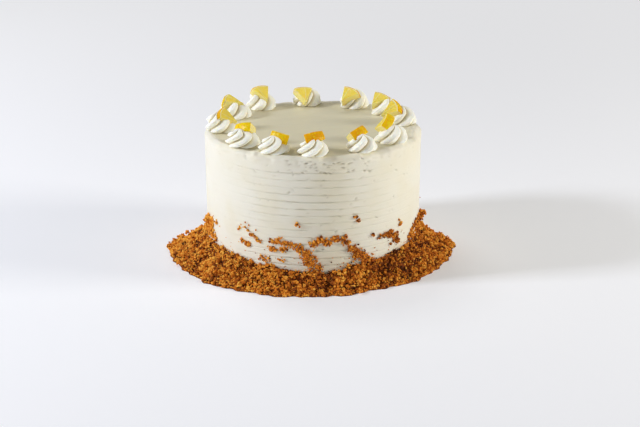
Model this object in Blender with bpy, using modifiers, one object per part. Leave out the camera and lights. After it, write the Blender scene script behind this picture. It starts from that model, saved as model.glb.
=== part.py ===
"""A lemon layer cake: combed white frosting, a ring of piped rosettes with lemon wedges, a bank of crumbs.

Metres, +Z up. The origin is the middle of the cake's flat underside, and -Y is the front.
"""

import math
import random

import bmesh
import bpy
from mathutils import Matrix, Vector

MM = 0.001
MERGE = 0.00001
GAP = 0.3 * MM

# Linear colours and roughness of each finish
FROSTING = ((0.86, 0.83, 0.74), 0.5)
PIPED_CREAM = ((0.90, 0.87, 0.77), 0.45)
LEMON = ((0.88, 0.66, 0.10), 0.35)
BISCUIT = ((0.48, 0.22, 0.06), 0.85)

# Cake: a 203 mm sponge with about 6 mm of frosting on it
CAKE_RADIUS = 107.5 * MM
CAKE_HEIGHT = 128.6 * MM
CAKE_STEPS = 48
TOP_EDGE_ROUND = 4.0 * MM
TOP_DISH = 0.8 * MM
TOP_DISH_RADIUS = 68.0 * MM
BASE_CHAMFER = 1.0 * MM
SIDE_WOBBLE = 0.35 * MM
WOBBLE_ROUND = 3.0
WOBBLE_UP = 26.0

# Comb marks round the side
GROOVE_COUNT = 16
GROOVE_PITCH = 7.0 * MM
GROOVE_DEPTH = 0.8 * MM
GROOVE_HALF_WIDTH = 1.0 * MM
LOWEST_GROOVE = 8.5 * MM

# Rosettes: star-tip swirls near the rim
ROSETTE_LOBES = 5
POINTS_PER_LOBE = 4
LOBE_DEPTH = 0.26
ROSETTE_TWIST = math.radians(82.0)
ROSETTE_LEAN = 3.5 * MM
ROSETTE_PROFILE = ((0.0, 1.0), (0.36, 0.93), (0.70, 0.74), (0.92, 0.46), (1.0, 0.20), (0.94, 0.0), (0.0, 0.0))

# Each rosette: bearing in degrees from +X, then the distance of its centre, its radius and its height in mm
ROSETTES = (
    (-90.0, 93.0, 14.6, 15.0),
    (-60.6, 92.5, 14.4, 15.5),
    (-34.5, 90.0, 15.8, 16.5),
    (9.0, 89.0, 15.2, 17.0),
    (35.0, 90.0, 14.8, 16.5),
    (62.0, 91.0, 15.2, 18.0),
    (93.7, 90.5, 15.0, 17.5),
    (125.5, 91.5, 15.6, 17.0),
    (153.0, 88.0, 15.8, 17.5),
    (-173.0, 90.0, 15.6, 18.0),
    (-137.0, 90.0, 16.6, 15.5),
    (-113.0, 92.5, 14.6, 15.5),
)
PHASE_STEP = math.radians(19.0)

# Lemon wedges: about a seventh of a slice each
LEMON_RADIUS = 22.8 * MM
LEMON_ANGLE = math.radians(53.0)
LEMON_THICKNESS = 9.0 * MM
LEMON_ARC_STEPS = 6
WEDGE_CUT_REACH = 30.0 * MM

# Each rosette's wedge: how far its tip lies inwards and sideways of the rosette's centre and over the cake,
# in mm, and its tilt, turn and roll in degrees
WEDGES = (
    (12.5, -3.6, 1.1, 35.0, 23.0, 5.0),
    (14.5, -3.2, 0.6, 39.0, 12.0, 13.0),
    (13.2, 3.5, 3.0, 42.0, -12.0, 34.0),
    (16.2, 3.9, 2.1, 37.0, -12.0, 33.0),
    (14.3, 4.1, 4.0, 17.0, 15.0, 14.0),
    (16.6, 5.6, 1.8, 30.0, -15.0, 16.0),
    (16.7, 3.2, 0.6, 30.0, 8.0, 2.0),
    (8.2, 0.5, 2.8, 36.0, -3.0, -1.0),
    (6.5, -2.1, 5.6, 18.0, 16.0, -6.0),
    (12.3, -0.4, 1.3, 33.0, -6.0, -23.0),
    (16.4, -0.6, 3.7, 25.0, 3.0, 18.0),
    (17.8, 5.6, 2.3, 21.0, -5.0, -9.0),
)

# Crumb bank: heaped against the foot of the cake
BANK_STEPS = 96
BANK_RINGS = 7
BANK_WIDTH = 34.0 * MM
BANK_EDGE = 3.0 * MM
BANK_UNDERCUT = 1.2 * MM
BANK_SLOPE = 1.7
BANK_BUMP = 1.9 * MM
BANK_SIDE_BUMP = 1.1 * MM
# Waves of the bank's outline: how many go round, and how far each reaches
BANK_WAVES = ((7.0, 1.4 * MM), (13.0, 1.2 * MM), (23.0, 1.0 * MM))
# Every 30 degrees from +X, in mm: height where the bank meets the cake, and radius of its outer edge
BANK_TOPS = (27.0, 19.0, 20.0, 22.0, 20.0, 17.0, 24.0, 25.5, 18.5, 16.5, 23.5, 27.5)
BANK_REACHES = (146.0, 132.0, 133.0, 135.0, 132.0, 128.0, 150.0, 141.0, 137.0, 131.0, 131.0, 136.0)

# Crumbs stuck on the side: bearing in degrees, height in mm, half width and half height in mm, count
CRUMB_PATCHES = (
    (-126.5, 54.0, 4.0, 2.5, 2),
    (-120.5, 45.5, 5.0, 2.5, 3),
    (-125.4, 38.2, 4.5, 2.0, 3),
    (-109.0, 46.5, 6.5, 2.5, 4),
    (-108.0, 36.5, 7.0, 2.5, 4),
    (-115.5, 25.0, 4.0, 1.5, 2),
    (-97.5, 40.5, 5.0, 2.5, 4),
    (-91.5, 31.0, 4.5, 8.0, 6),
    (-85.0, 47.0, 8.0, 2.5, 5),
    (-76.5, 49.0, 5.0, 2.0, 3),
    (-67.5, 34.0, 4.5, 7.5, 5),
    (-47.0, 41.5, 9.0, 4.0, 6),
    (-57.0, 46.0, 0.5, 0.5, 1),
    (-41.0, 51.0, 0.5, 0.5, 1),
    (-98.0, 63.8, 0.5, 0.5, 1),
    (-67.5, 67.0, 1.8, 1.8, 2),
    (-161.0, 40.0, 5.0, 8.0, 4),
    (-20.0, 40.5, 6.0, 5.0, 3),
    (-7.0, 48.5, 3.5, 2.5, 2),
)
STUCK_SIZE = 3.0 * MM
STUCK_LEAST = 0.8
STUCK_MOST = 1.3
STUCK_FLATNESS = (0.75, 1.0, 0.9)
STUCK_ROUGHNESS = 0.15
STUCK_SINK = 0.3 * MM


def polar(radius, angle, height):
    """A point at a radius, an angle and a height."""
    return Vector((radius * math.cos(angle), radius * math.sin(angle), height))


def new_object(name, data, collection):
    """A new object in a collection."""
    made = bpy.data.objects.new(name, data)
    collection.objects.link(made)
    return made


def new_collection(name):
    """A new collection in the scene."""
    made = bpy.data.collections.new(name)
    bpy.context.scene.collection.children.link(made)
    return made


def material(name, colour, roughness):
    """A plain Principled material."""
    made = bpy.data.materials.new(name)
    made.use_nodes = True
    shader = made.node_tree.nodes["Principled BSDF"]
    shader.inputs["Base Color"].default_value = (*colour, 1.0)
    shader.inputs["Roughness"].default_value = roughness
    shader.inputs["Metallic"].default_value = 0.0
    made.diffuse_color = (*colour, 1.0)
    return made


def apply_modifiers(made):
    """Replaces an object's mesh by what its modifiers make of it."""
    graph = bpy.context.evaluated_depsgraph_get()
    done = bpy.data.meshes.new_from_object(made.evaluated_get(graph))
    made.modifiers.clear()
    made.data = done


def turned(name, profile, steps, collection, closed=False):
    """A body turned round Z from (radius, height) points that run down its outer side."""
    mesh = bpy.data.meshes.new(name)
    edges = [(i, i + 1) for i in range(len(profile) - 1)]
    if closed:
        edges.append((len(profile) - 1, 0))
    mesh.from_pydata([(r, 0.0, z) for r, z in profile], edges, [])
    made = new_object(name, mesh, collection)
    screw = made.modifiers.new("Turn", "SCREW")
    screw.axis = "Z"
    screw.steps = screw.render_steps = steps
    screw.use_merge_vertices = True
    screw.merge_threshold = MERGE
    apply_modifiers(made)
    return made


def reshape(made, rule):
    """Moves every point of a mesh to where the rule puts it, given its radius, angle and height."""
    for vertex in made.data.vertices:
        x, y, z = vertex.co
        vertex.co = rule(math.hypot(x, y), math.atan2(y, x), z)


def cake_profile():
    """The cake's outline from the middle of the top, over the edge and down the combed side."""
    points = [(0.0, CAKE_HEIGHT), (TOP_DISH_RADIUS * 0.5, CAKE_HEIGHT), (TOP_DISH_RADIUS, CAKE_HEIGHT)]
    centre_r = CAKE_RADIUS - TOP_EDGE_ROUND
    centre_z = CAKE_HEIGHT - TOP_EDGE_ROUND
    for degrees in (90, 60, 30, 0):
        angle = math.radians(degrees)
        points.append(
            (centre_r + TOP_EDGE_ROUND * math.cos(angle), centre_z + TOP_EDGE_ROUND * math.sin(angle))
        )
    for i in reversed(range(GROOVE_COUNT)):
        middle = LOWEST_GROOVE + i * GROOVE_PITCH
        points.append((CAKE_RADIUS, middle + GROOVE_HALF_WIDTH))
        points.append((CAKE_RADIUS - GROOVE_DEPTH, middle))
        points.append((CAKE_RADIUS, middle - GROOVE_HALF_WIDTH))
    points += [(CAKE_RADIUS, BASE_CHAMFER), (CAKE_RADIUS - BASE_CHAMFER, 0.0), (0.0, 0.0)]
    return points


def uneven_cake(radius, angle, height):
    """The slight wobble of a hand-smoothed side, and the shallow dish of the top."""
    wave = 0.5 + 0.5 * math.sin(WOBBLE_ROUND * angle) * math.cos(WOBBLE_UP * height + angle)
    share = min(1.0, radius / CAKE_RADIUS)
    radius -= SIDE_WOBBLE * wave * share**4
    if height > CAKE_HEIGHT - MERGE and radius < TOP_DISH_RADIUS - MERGE:
        height -= TOP_DISH * (1.0 - (radius / TOP_DISH_RADIUS) ** 2)
    return polar(radius, angle, height)


def crumb_lump(rng, size, angle):
    """The mesh of one rough lump, flattened against the side at an angle."""
    shaper = bmesh.new()
    bmesh.ops.create_icosphere(shaper, subdivisions=1, radius=size)
    for vertex in shaper.verts:
        vertex.co *= 1.0 + STUCK_ROUGHNESS * rng.uniform(-1.0, 1.0)
    flat = Matrix.Diagonal((*STUCK_FLATNESS, 1.0))
    roll = Matrix.Rotation(rng.uniform(0.0, math.tau), 4, "X")
    shaper.transform(Matrix.Rotation(angle, 4, "Z") @ flat @ roll)
    mesh = bpy.data.meshes.new("crumb lump")
    shaper.to_mesh(mesh)
    shaper.free()
    return mesh


def stuck_crumbs(collection):
    """Crumbs pressed into the frosting of the side, as small rough lumps."""
    rng = random.Random(7)
    for bearing, height, half_width, half_height, count in CRUMB_PATCHES:
        for i in range(count):
            along = half_width * MM * (2.0 * (i + 0.5) / count - 1.0)
            angle = math.radians(bearing) + along / CAKE_RADIUS
            z = (height + half_height * rng.uniform(-1.0, 1.0)) * MM
            size = STUCK_SIZE * rng.uniform(STUCK_LEAST, STUCK_MOST)
            lump = new_object("crumb lump", crumb_lump(rng, size, angle), collection)
            lump.location = polar(CAKE_RADIUS - STUCK_SINK, angle, z)


def frosted_cake(collection, finish):
    """The cake itself, one solid, with the crumbs that stick to its side."""
    cake = turned("frosted_cake", cake_profile(), CAKE_STEPS, collection)
    reshape(cake, uneven_cake)
    lumps = new_collection("stuck crumbs")
    stuck_crumbs(lumps)
    join = cake.modifiers.new("Join", "BOOLEAN")
    join.operand_type = "COLLECTION"
    join.collection = lumps
    join.operation = "UNION"
    join.solver = "MANIFOLD"
    apply_modifiers(cake)
    for lump in list(lumps.objects):
        bpy.data.objects.remove(lump)
    bpy.data.collections.remove(lumps)
    cake.data.materials.clear()
    cake.data.materials.append(finish)


def swirl_rule(size, tall, phase):
    """The twist, the lobes and the outward lean of a piped rosette, for one radius and height."""

    def rule(radius, angle, height):
        lobe = 0.5 - 0.5 * math.cos(ROSETTE_LOBES * angle)
        share = math.sin(math.pi * min(1.0, radius / size) * 0.5)
        radius *= 1.0 - LOBE_DEPTH * share * lobe
        point = polar(radius, angle + phase + ROSETTE_TWIST * height / tall, height)
        point.x += ROSETTE_LEAN * height / tall
        return point

    return rule


def rosette_frame(bearing, distance):
    """The place of a rosette on the cake's top: +X points outwards."""
    angle = math.radians(bearing)
    place = Matrix.Translation(polar(distance * MM, angle, CAKE_HEIGHT + GAP))
    return place @ Matrix.Rotation(angle, 4, "Z")


def wedge_frame(place, inset, side, lift, tilt, turn, roll):
    """The place of a lemon wedge: its tip low on the rosette's inner side, its rind up and outwards."""
    tip = Matrix.Translation((-inset * MM, side * MM, lift * MM))
    turned_to = Matrix.Rotation(math.radians(turn), 4, "Z") @ Matrix.Rotation(-math.radians(tilt), 4, "Y")
    return place @ tip @ turned_to @ Matrix.Rotation(math.radians(roll), 4, "X")


def wedge_curve(name, low, high, margin, collection):
    """A flat lemon wedge, tip at its origin, between two heights over its lower face."""
    curve = bpy.data.curves.new(name, "CURVE")
    curve.dimensions = "2D"
    curve.fill_mode = "BOTH"
    curve.extrude = (high - low) / 2.0
    half = LEMON_ANGLE / 2.0
    points = [(-margin / math.sin(half), 0.0)]
    for i in range(LEMON_ARC_STEPS + 1):
        angle = half * (2.0 * i / LEMON_ARC_STEPS - 1.0)
        side = margin * (2.0 * i / LEMON_ARC_STEPS - 1.0)
        reach = LEMON_RADIUS + margin
        points.append((reach * math.cos(angle), reach * math.sin(angle) + side))
    spline = curve.splines.new("POLY")
    spline.points.add(len(points) - 1)
    for point, (x, y) in zip(spline.points, points):
        point.co = (x, y, 0.0, 1.0)
    spline.use_cyclic_u = True
    return new_object(name, curve, collection)


def as_mesh(curve_object, collection):
    """The closed mesh of a curve object, which it replaces."""
    name = curve_object.name
    graph = bpy.context.evaluated_depsgraph_get()
    mesh = bpy.data.meshes.new_from_object(curve_object.evaluated_get(graph))
    cleaner = bmesh.new()
    cleaner.from_mesh(mesh)
    bmesh.ops.remove_doubles(cleaner, verts=cleaner.verts, dist=MERGE)
    cleaner.to_mesh(mesh)
    cleaner.free()
    world = curve_object.matrix_world.copy()
    bpy.data.objects.remove(curve_object)
    made = new_object(name, mesh, collection)
    made.matrix_world = world
    return made


def lemon_wedge(name, frame, collection, finish):
    """One lemon wedge, resting on its rosette."""
    wedge = wedge_curve(name, 0.0, LEMON_THICKNESS, 0.0, collection)
    wedge.matrix_world = frame @ Matrix.Translation((0.0, 0.0, LEMON_THICKNESS / 2.0))
    wedge.data.materials.append(finish)


def wedge_cutter(name, frame, collection):
    """The room that a wedge takes in the cream, open above it."""
    low = -GAP
    high = LEMON_THICKNESS + WEDGE_CUT_REACH
    cutter = wedge_curve(name, low, high, GAP, collection)
    cutter.matrix_world = frame @ Matrix.Translation((0.0, 0.0, (low + high) / 2.0))
    bpy.context.view_layer.update()
    cutter = as_mesh(cutter, collection)
    cutter.hide_render = True
    cutter.display_type = "WIRE"
    return cutter


def rosette(name, place, size, tall, phase, cutter, collection, finish):
    """One piped rosette, with the bed of its lemon wedge pressed into it."""
    profile = [(r * size, z * tall) for r, z in ROSETTE_PROFILE]
    swirl = turned(name, profile, ROSETTE_LOBES * POINTS_PER_LOBE, collection)
    reshape(swirl, swirl_rule(size, tall, phase))
    swirl.matrix_world = place
    bed = swirl.modifiers.new("Bed", "BOOLEAN")
    bed.object = cutter
    bed.operation = "DIFFERENCE"
    swirl.data.materials.append(finish)


def around(values, angle):
    """A smooth value between numbers that are spread evenly round a circle."""
    place = (angle / (2.0 * math.pi)) % 1.0 * len(values)
    low = int(place) % len(values)
    ease = 0.5 - 0.5 * math.cos(math.pi * (place - int(place)))
    return values[low] + (values[(low + 1) % len(values)] - values[low]) * ease


def bank_profile(inner):
    """The crumb bank's closed outline: down the slope, round the edge and back under."""
    points = []
    for i in range(BANK_RINGS + 1):
        share = i / BANK_RINGS
        points.append((inner + BANK_WIDTH * share, BANK_EDGE))
    return points + [(inner + BANK_WIDTH - BANK_UNDERCUT, 0.0), (inner, 0.0)]


def bank_rule(inner):
    """The heap's uneven height and outline, with bumps the size of small clumps."""
    rng = random.Random(21)

    def rule(radius, angle, height):
        share = (radius - inner) / BANK_WIDTH
        waves = sum(reach * math.sin(count * angle) for count, reach in BANK_WAVES)
        radius = inner + share * (around(BANK_REACHES, angle) * MM + waves - inner)
        if height > 0.0:
            height += (around(BANK_TOPS, angle) * MM - BANK_EDGE) * max(0.0, 1.0 - share) ** BANK_SLOPE
            height += BANK_BUMP * rng.uniform(-1.0, 1.0)
            if 0.01 < share < 0.99:
                radius += BANK_SIDE_BUMP * rng.uniform(-1.0, 1.0)
        return polar(radius, angle, height)

    return rule


def crumb_bank(collection, finish):
    """The ring of biscuit crumbs round the foot of the cake."""
    inner = CAKE_RADIUS + GAP * 1.5
    bank = turned("crumb_bank", bank_profile(inner), BANK_STEPS, collection, closed=True)
    reshape(bank, bank_rule(inner))
    bank.data.materials.append(finish)


def main():
    """Builds the cake, its crumbs, its rosettes and their lemon wedges."""
    for old in list(bpy.data.objects):
        bpy.data.objects.remove(old)
    cake = new_collection("layer cake")
    cutters = new_collection("cutters")
    frosting = material("frosting", *FROSTING)
    cream = material("piped cream", *PIPED_CREAM)
    lemon = material("lemon", *LEMON)
    crumb = material("biscuit crumb", *BISCUIT)
    frosted_cake(cake, frosting)
    crumb_bank(cake, crumb)
    for number, (swirl, wedge) in enumerate(zip(ROSETTES, WEDGES), start=1):
        bearing, distance, size, tall = swirl
        place = rosette_frame(bearing, distance)
        frame = wedge_frame(place, *wedge)
        lemon_wedge(f"lemon_wedge_{number:02d}", frame, cake, lemon)
        cutter = wedge_cutter(f"bed_{number:02d}", frame, cutters)
        phase = PHASE_STEP * number
        rosette(f"rosette_{number:02d}", place, size * MM, tall * MM, phase, cutter, cake, cream)


main()
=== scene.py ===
"""Looks of a lemon layer cake: combed frosting, piped swirls with lemon, and a bank of biscuit crumbs."""

import itertools
import logging
import math
from dataclasses import dataclass, field
from enum import Enum
from typing import Any, Mapping, Sequence

import bmesh
import bpy
import numpy as np
from mathutils import Matrix, Vector


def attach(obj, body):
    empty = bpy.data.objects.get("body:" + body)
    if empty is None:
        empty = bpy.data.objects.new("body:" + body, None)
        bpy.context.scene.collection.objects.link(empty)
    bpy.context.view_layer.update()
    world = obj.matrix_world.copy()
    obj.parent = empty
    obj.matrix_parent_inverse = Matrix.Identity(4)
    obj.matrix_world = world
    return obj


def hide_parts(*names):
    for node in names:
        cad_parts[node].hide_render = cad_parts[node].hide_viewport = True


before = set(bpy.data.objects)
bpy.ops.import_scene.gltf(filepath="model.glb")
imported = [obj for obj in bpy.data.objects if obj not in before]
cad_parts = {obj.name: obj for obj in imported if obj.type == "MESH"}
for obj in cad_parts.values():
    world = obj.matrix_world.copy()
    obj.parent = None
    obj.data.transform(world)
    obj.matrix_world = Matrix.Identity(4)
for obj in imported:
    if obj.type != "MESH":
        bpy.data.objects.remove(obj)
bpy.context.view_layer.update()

MM = 0.001
BODY = "root"
# How far the frames of the lemon pieces and of the swirls stand over the cake's plain top
WEDGE_GAP = 0.3 * MM
SWIRL_GAP = 0.2 * MM

Colour = tuple[float, float, float]


class Slot(Enum):
    """The record's material slots."""

    FROSTING = "frosting"
    CREAM = "piped_cream"
    LEMON = "lemon"
    BISCUIT = "biscuit_crumb"


class Signal:
    """A number from a shader socket, for use in Python expressions."""

    def __init__(self, graph: "ShaderGraph", socket: bpy.types.NodeSocket) -> None:
        """Keeps the socket and the graph that it belongs to."""
        self.graph = graph
        self.socket = socket

    def join(self, operation: str, first: Any, second: Any) -> "Signal":
        """Adds a Math node.

        Args:
            operation: the node's operation.
            first: its first value.
            second: its second value.

        Returns:
            The node's result.
        """
        made = self.graph.node("ShaderNodeMath", {"operation": operation}, {0: first, 1: second})
        return Signal(self.graph, made.outputs[0])

    def __add__(self, other: Any) -> "Signal":
        """This plus another."""
        return self.join("ADD", self, other)

    def __radd__(self, other: Any) -> "Signal":
        """Another plus this."""
        return self.join("ADD", other, self)

    def __sub__(self, other: Any) -> "Signal":
        """This minus another."""
        return self.join("SUBTRACT", self, other)

    def __rsub__(self, other: Any) -> "Signal":
        """Another minus this."""
        return self.join("SUBTRACT", other, self)

    def __mul__(self, other: Any) -> "Signal":
        """This times another."""
        return self.join("MULTIPLY", self, other)

    def __rmul__(self, other: Any) -> "Signal":
        """Another times this."""
        return self.join("MULTIPLY", other, self)


class ShaderGraph:
    """The nodes of one material round its Principled shader."""

    def __init__(self, name: str, constants: Mapping[str, Any]) -> None:
        """Makes the material.

        Args:
            name: the material's name.
            constants: values set on the shader's own sockets.
        """
        self.material = bpy.data.materials.new(name)
        self.material.use_nodes = True
        self.tree = self.material.node_tree
        self.shader = self.tree.nodes["Principled BSDF"]
        for key, value in constants.items():
            self.shader.inputs[key].default_value = value

    def feed(self, socket: bpy.types.NodeSocket, value: Any) -> None:
        """Gives a socket a value or a link.

        Args:
            socket: the socket to feed.
            value: a number, a tuple, a Signal or another socket.
        """
        source = value.socket if isinstance(value, Signal) else value
        if isinstance(source, bpy.types.NodeSocket):
            self.tree.links.new(source, socket)
        else:
            socket.default_value = source

    def node(
        self, kind: str, settings: Mapping[str, Any] | None = None, values: Mapping[Any, Any] | None = None
    ) -> bpy.types.Node:
        """Adds any node.

        Args:
            kind: the node's type.
            settings: its own settings, with a ramp's stops under "stops".
            values: values or links by socket name or number.

        Returns:
            The node.
        """
        made = self.tree.nodes.new(kind)
        for key, value in (settings or {}).items():
            if key == "stops":
                self.set_stops(made.color_ramp, value)
            else:
                setattr(made, key, value)
        for key, value in (values or {}).items():
            self.feed(made.inputs[key], value)
        return made

    @staticmethod
    def set_stops(ramp: bpy.types.ColorRamp, stops: Sequence[tuple[float, Colour]]) -> None:
        """Sets a ramp's stops.

        Args:
            ramp: the ramp.
            stops: positions with their colours.
        """
        while len(ramp.elements) < len(stops):
            ramp.elements.new(1.0)
        for element, (place, colour) in zip(ramp.elements, stops):
            element.position = place
            element.color = (*colour, 1.0)

    def attribute(self, name: str) -> bpy.types.Node:
        """The node of a named mesh attribute."""
        return self.node("ShaderNodeAttribute", {"attribute_name": name})

    def stored(self, name: str) -> Signal:
        """A number stored on the mesh."""
        return Signal(self, self.attribute(name).outputs["Fac"])

    def stored_vector(self, name: str) -> bpy.types.NodeSocket:
        """A vector stored on the mesh."""
        return self.attribute(name).outputs["Vector"]

    def place(self) -> bpy.types.NodeSocket:
        """The point's own coordinates in metres."""
        return self.node("ShaderNodeTexCoord").outputs["Object"]

    def noise(self, where: bpy.types.NodeSocket, scale: float, detail: float = 2.0) -> Signal:
        """Smooth noise from 0 to 1.

        Args:
            where: the coordinates.
            scale: cells for each unit of them.
            detail: octaves.

        Returns:
            The noise.
        """
        made = self.node("ShaderNodeTexNoise", {}, {"Vector": where, "Scale": scale, "Detail": detail})
        return Signal(self, made.outputs["Fac"])

    def cells(self, where: bpy.types.NodeSocket, scale: float, feature: str = "F1") -> Signal:
        """Distance in a Voronoi pattern.

        Args:
            where: the coordinates.
            scale: cells for each unit of them.
            feature: F1, or DISTANCE_TO_EDGE.

        Returns:
            The distance.
        """
        made = self.node("ShaderNodeTexVoronoi", {"feature": feature}, {"Vector": where, "Scale": scale})
        return Signal(self, made.outputs["Distance"])

    def ramp(self, value: Signal, stops: Sequence[tuple[float, Colour]]) -> bpy.types.NodeSocket:
        """A colour ramp's colour for a value."""
        return self.node("ShaderNodeValToRGB", {"stops": stops}, {"Fac": value}).outputs["Color"]

    def step(self, value: Signal, low: float, high: float) -> Signal:
        """A smooth step from 0 at low to 1 at high.

        Args:
            value: the number that is stepped.
            low: where it is 0.
            high: where it is 1.

        Returns:
            The step.
        """
        values = {"Value": value, "From Min": low, "From Max": high}
        made = self.node("ShaderNodeMapRange", {"interpolation_type": "SMOOTHSTEP"}, values)
        return Signal(self, made.outputs["Result"])

    def mix(self, share: Any, first: Any, second: Any) -> bpy.types.NodeSocket:
        """A mix of two colours.

        Args:
            share: how much of the second.
            first: the first colour.
            second: the second colour.

        Returns:
            The mixed colour.
        """
        pair = {6: self.full(first), 7: self.full(second)}
        made = self.node("ShaderNodeMix", {"data_type": "RGBA"}, {0: share, **pair})
        return made.outputs[2]

    @staticmethod
    def full(colour: Any) -> Any:
        """A colour with its alpha, or a socket as it is."""
        return (*colour, 1.0) if isinstance(colour, tuple) and len(colour) == 3 else colour

    def finish(self, colour: Any, height: Signal, depth: float, roughness: Any) -> bpy.types.Material:
        """Feeds the shader.

        Args:
            colour: the base colour.
            height: the bump's height from about 0 to 1.
            depth: the bump's depth in metres.
            roughness: the roughness.

        Returns:
            The material.
        """
        bump = self.node("ShaderNodeBump", {}, {"Strength": 1.0, "Distance": depth, "Height": height})
        self.feed(self.shader.inputs["Base Color"], self.full(colour))
        self.feed(self.shader.inputs["Roughness"], roughness)
        self.feed(self.shader.inputs["Normal"], bump.outputs["Normal"])
        return self.material


@dataclass(frozen=True)
class FrostingFinish:
    """Whipped frosting: off-white, soft, with drag marks along the comb's way; painted shade darkens its comb
    grooves and pits, and its top is painted a darker khaki as shade.
    """

    name: str = "whipped frosting"
    light: Colour = (0.88, 0.835, 0.69)
    warm: Colour = (0.86, 0.80, 0.62)
    # Painted shade: the spread top is coloured darker and yellower than the side
    spread: Colour = (0.715, 0.655, 0.46)
    # Painted shade of the comb grooves and torn pits, and how much of it is mixed in
    hollow_shade: Colour = (0.50, 0.44, 0.31)
    hollow_shade_share: float = 0.42
    sheen: float = 0.42
    streak_sheen: float = 0.12
    soft: float = 0.12
    soft_reach: float = 3.0 * MM
    # Noise cells in a metre
    broad_cells: float = 28.0
    fine_cells: float = 1400.0
    pore_cells: float = 420.0
    relief: float = 0.3 * MM

    def material(self) -> bpy.types.Material:
        """Builds the material; it reads the attributes of the drag marks, of the hollows' painted shade and
        of the flat top, which is painted darker as shade.

        Returns:
            The material.
        """
        constants = {
            "Subsurface Weight": self.soft,
            "Subsurface Radius": (1.0, 0.8, 0.55),
            "Subsurface Scale": self.soft_reach,
            "Specular IOR Level": 0.4,
        }
        graph = ShaderGraph(self.name, constants)
        drag = graph.stored_vector("drag")
        broad = graph.noise(graph.place(), self.broad_cells)
        streak = graph.noise(drag, 1.0, 3.0)
        fine = graph.noise(graph.place(), self.fine_cells, 3.0)
        pore = graph.step(graph.cells(graph.place(), self.pore_cells), 0.06, 0.22)
        colour = graph.mix(graph.step(broad, 0.35, 0.70), self.light, self.warm)
        # Painted shade: the top is coloured darker khaki than the side
        colour = graph.mix(graph.stored("flat"), colour, self.spread)
        # Painted shade, darkening the comb grooves and torn pits
        colour = graph.mix(graph.stored("hollow_shade") * self.hollow_shade_share, colour, self.hollow_shade)
        height = streak * 0.55 + fine * 0.15 + pore * 0.30
        return graph.finish(colour, height, self.relief, self.sheen + self.streak_sheen * streak)


@dataclass(frozen=True)
class CreamFinish:
    """Piped cream: whiter than the side, with painted shade, warm and dark, in its valleys and a weak painted
    glow, and finely torn along its ribs.
    """

    name: str = "piped cream"
    light: Colour = (1.0, 0.98, 0.84)
    # Painted shade in the valleys between the ribs
    warm: Colour = (0.60, 0.49, 0.23)
    sheen: float = 0.40
    soft: float = 0.30
    soft_reach: float = 3.5 * MM
    # Painted glow: the cream glows weakly in its own pale colour, as if lit through
    painted_glow: float = 0.05
    # Noise cells in a metre
    fine_cells: float = 900.0
    relief: float = 0.15 * MM

    def material(self) -> bpy.types.Material:
        """Builds the material; it reads how deep each point lies in a valley and paints shade there.

        Returns:
            The material.
        """
        constants = {
            "Subsurface Weight": self.soft,
            "Subsurface Radius": (1.0, 0.85, 0.6),
            "Subsurface Scale": self.soft_reach,
            "Specular IOR Level": 0.4,
            # Painted glow in the cream's pale colour
            "Emission Color": (*self.light, 1.0),
            "Emission Strength": self.painted_glow,
        }
        graph = ShaderGraph(self.name, constants)
        fine = graph.noise(graph.place(), self.fine_cells, 3.0)
        # Painted shade, warm and dark, in the valleys between the ribs
        colour = graph.mix(graph.stored("valley_shade"), self.light, self.warm)
        return graph.finish(colour, fine, self.relief, self.sheen + 0.1 * fine)


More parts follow.
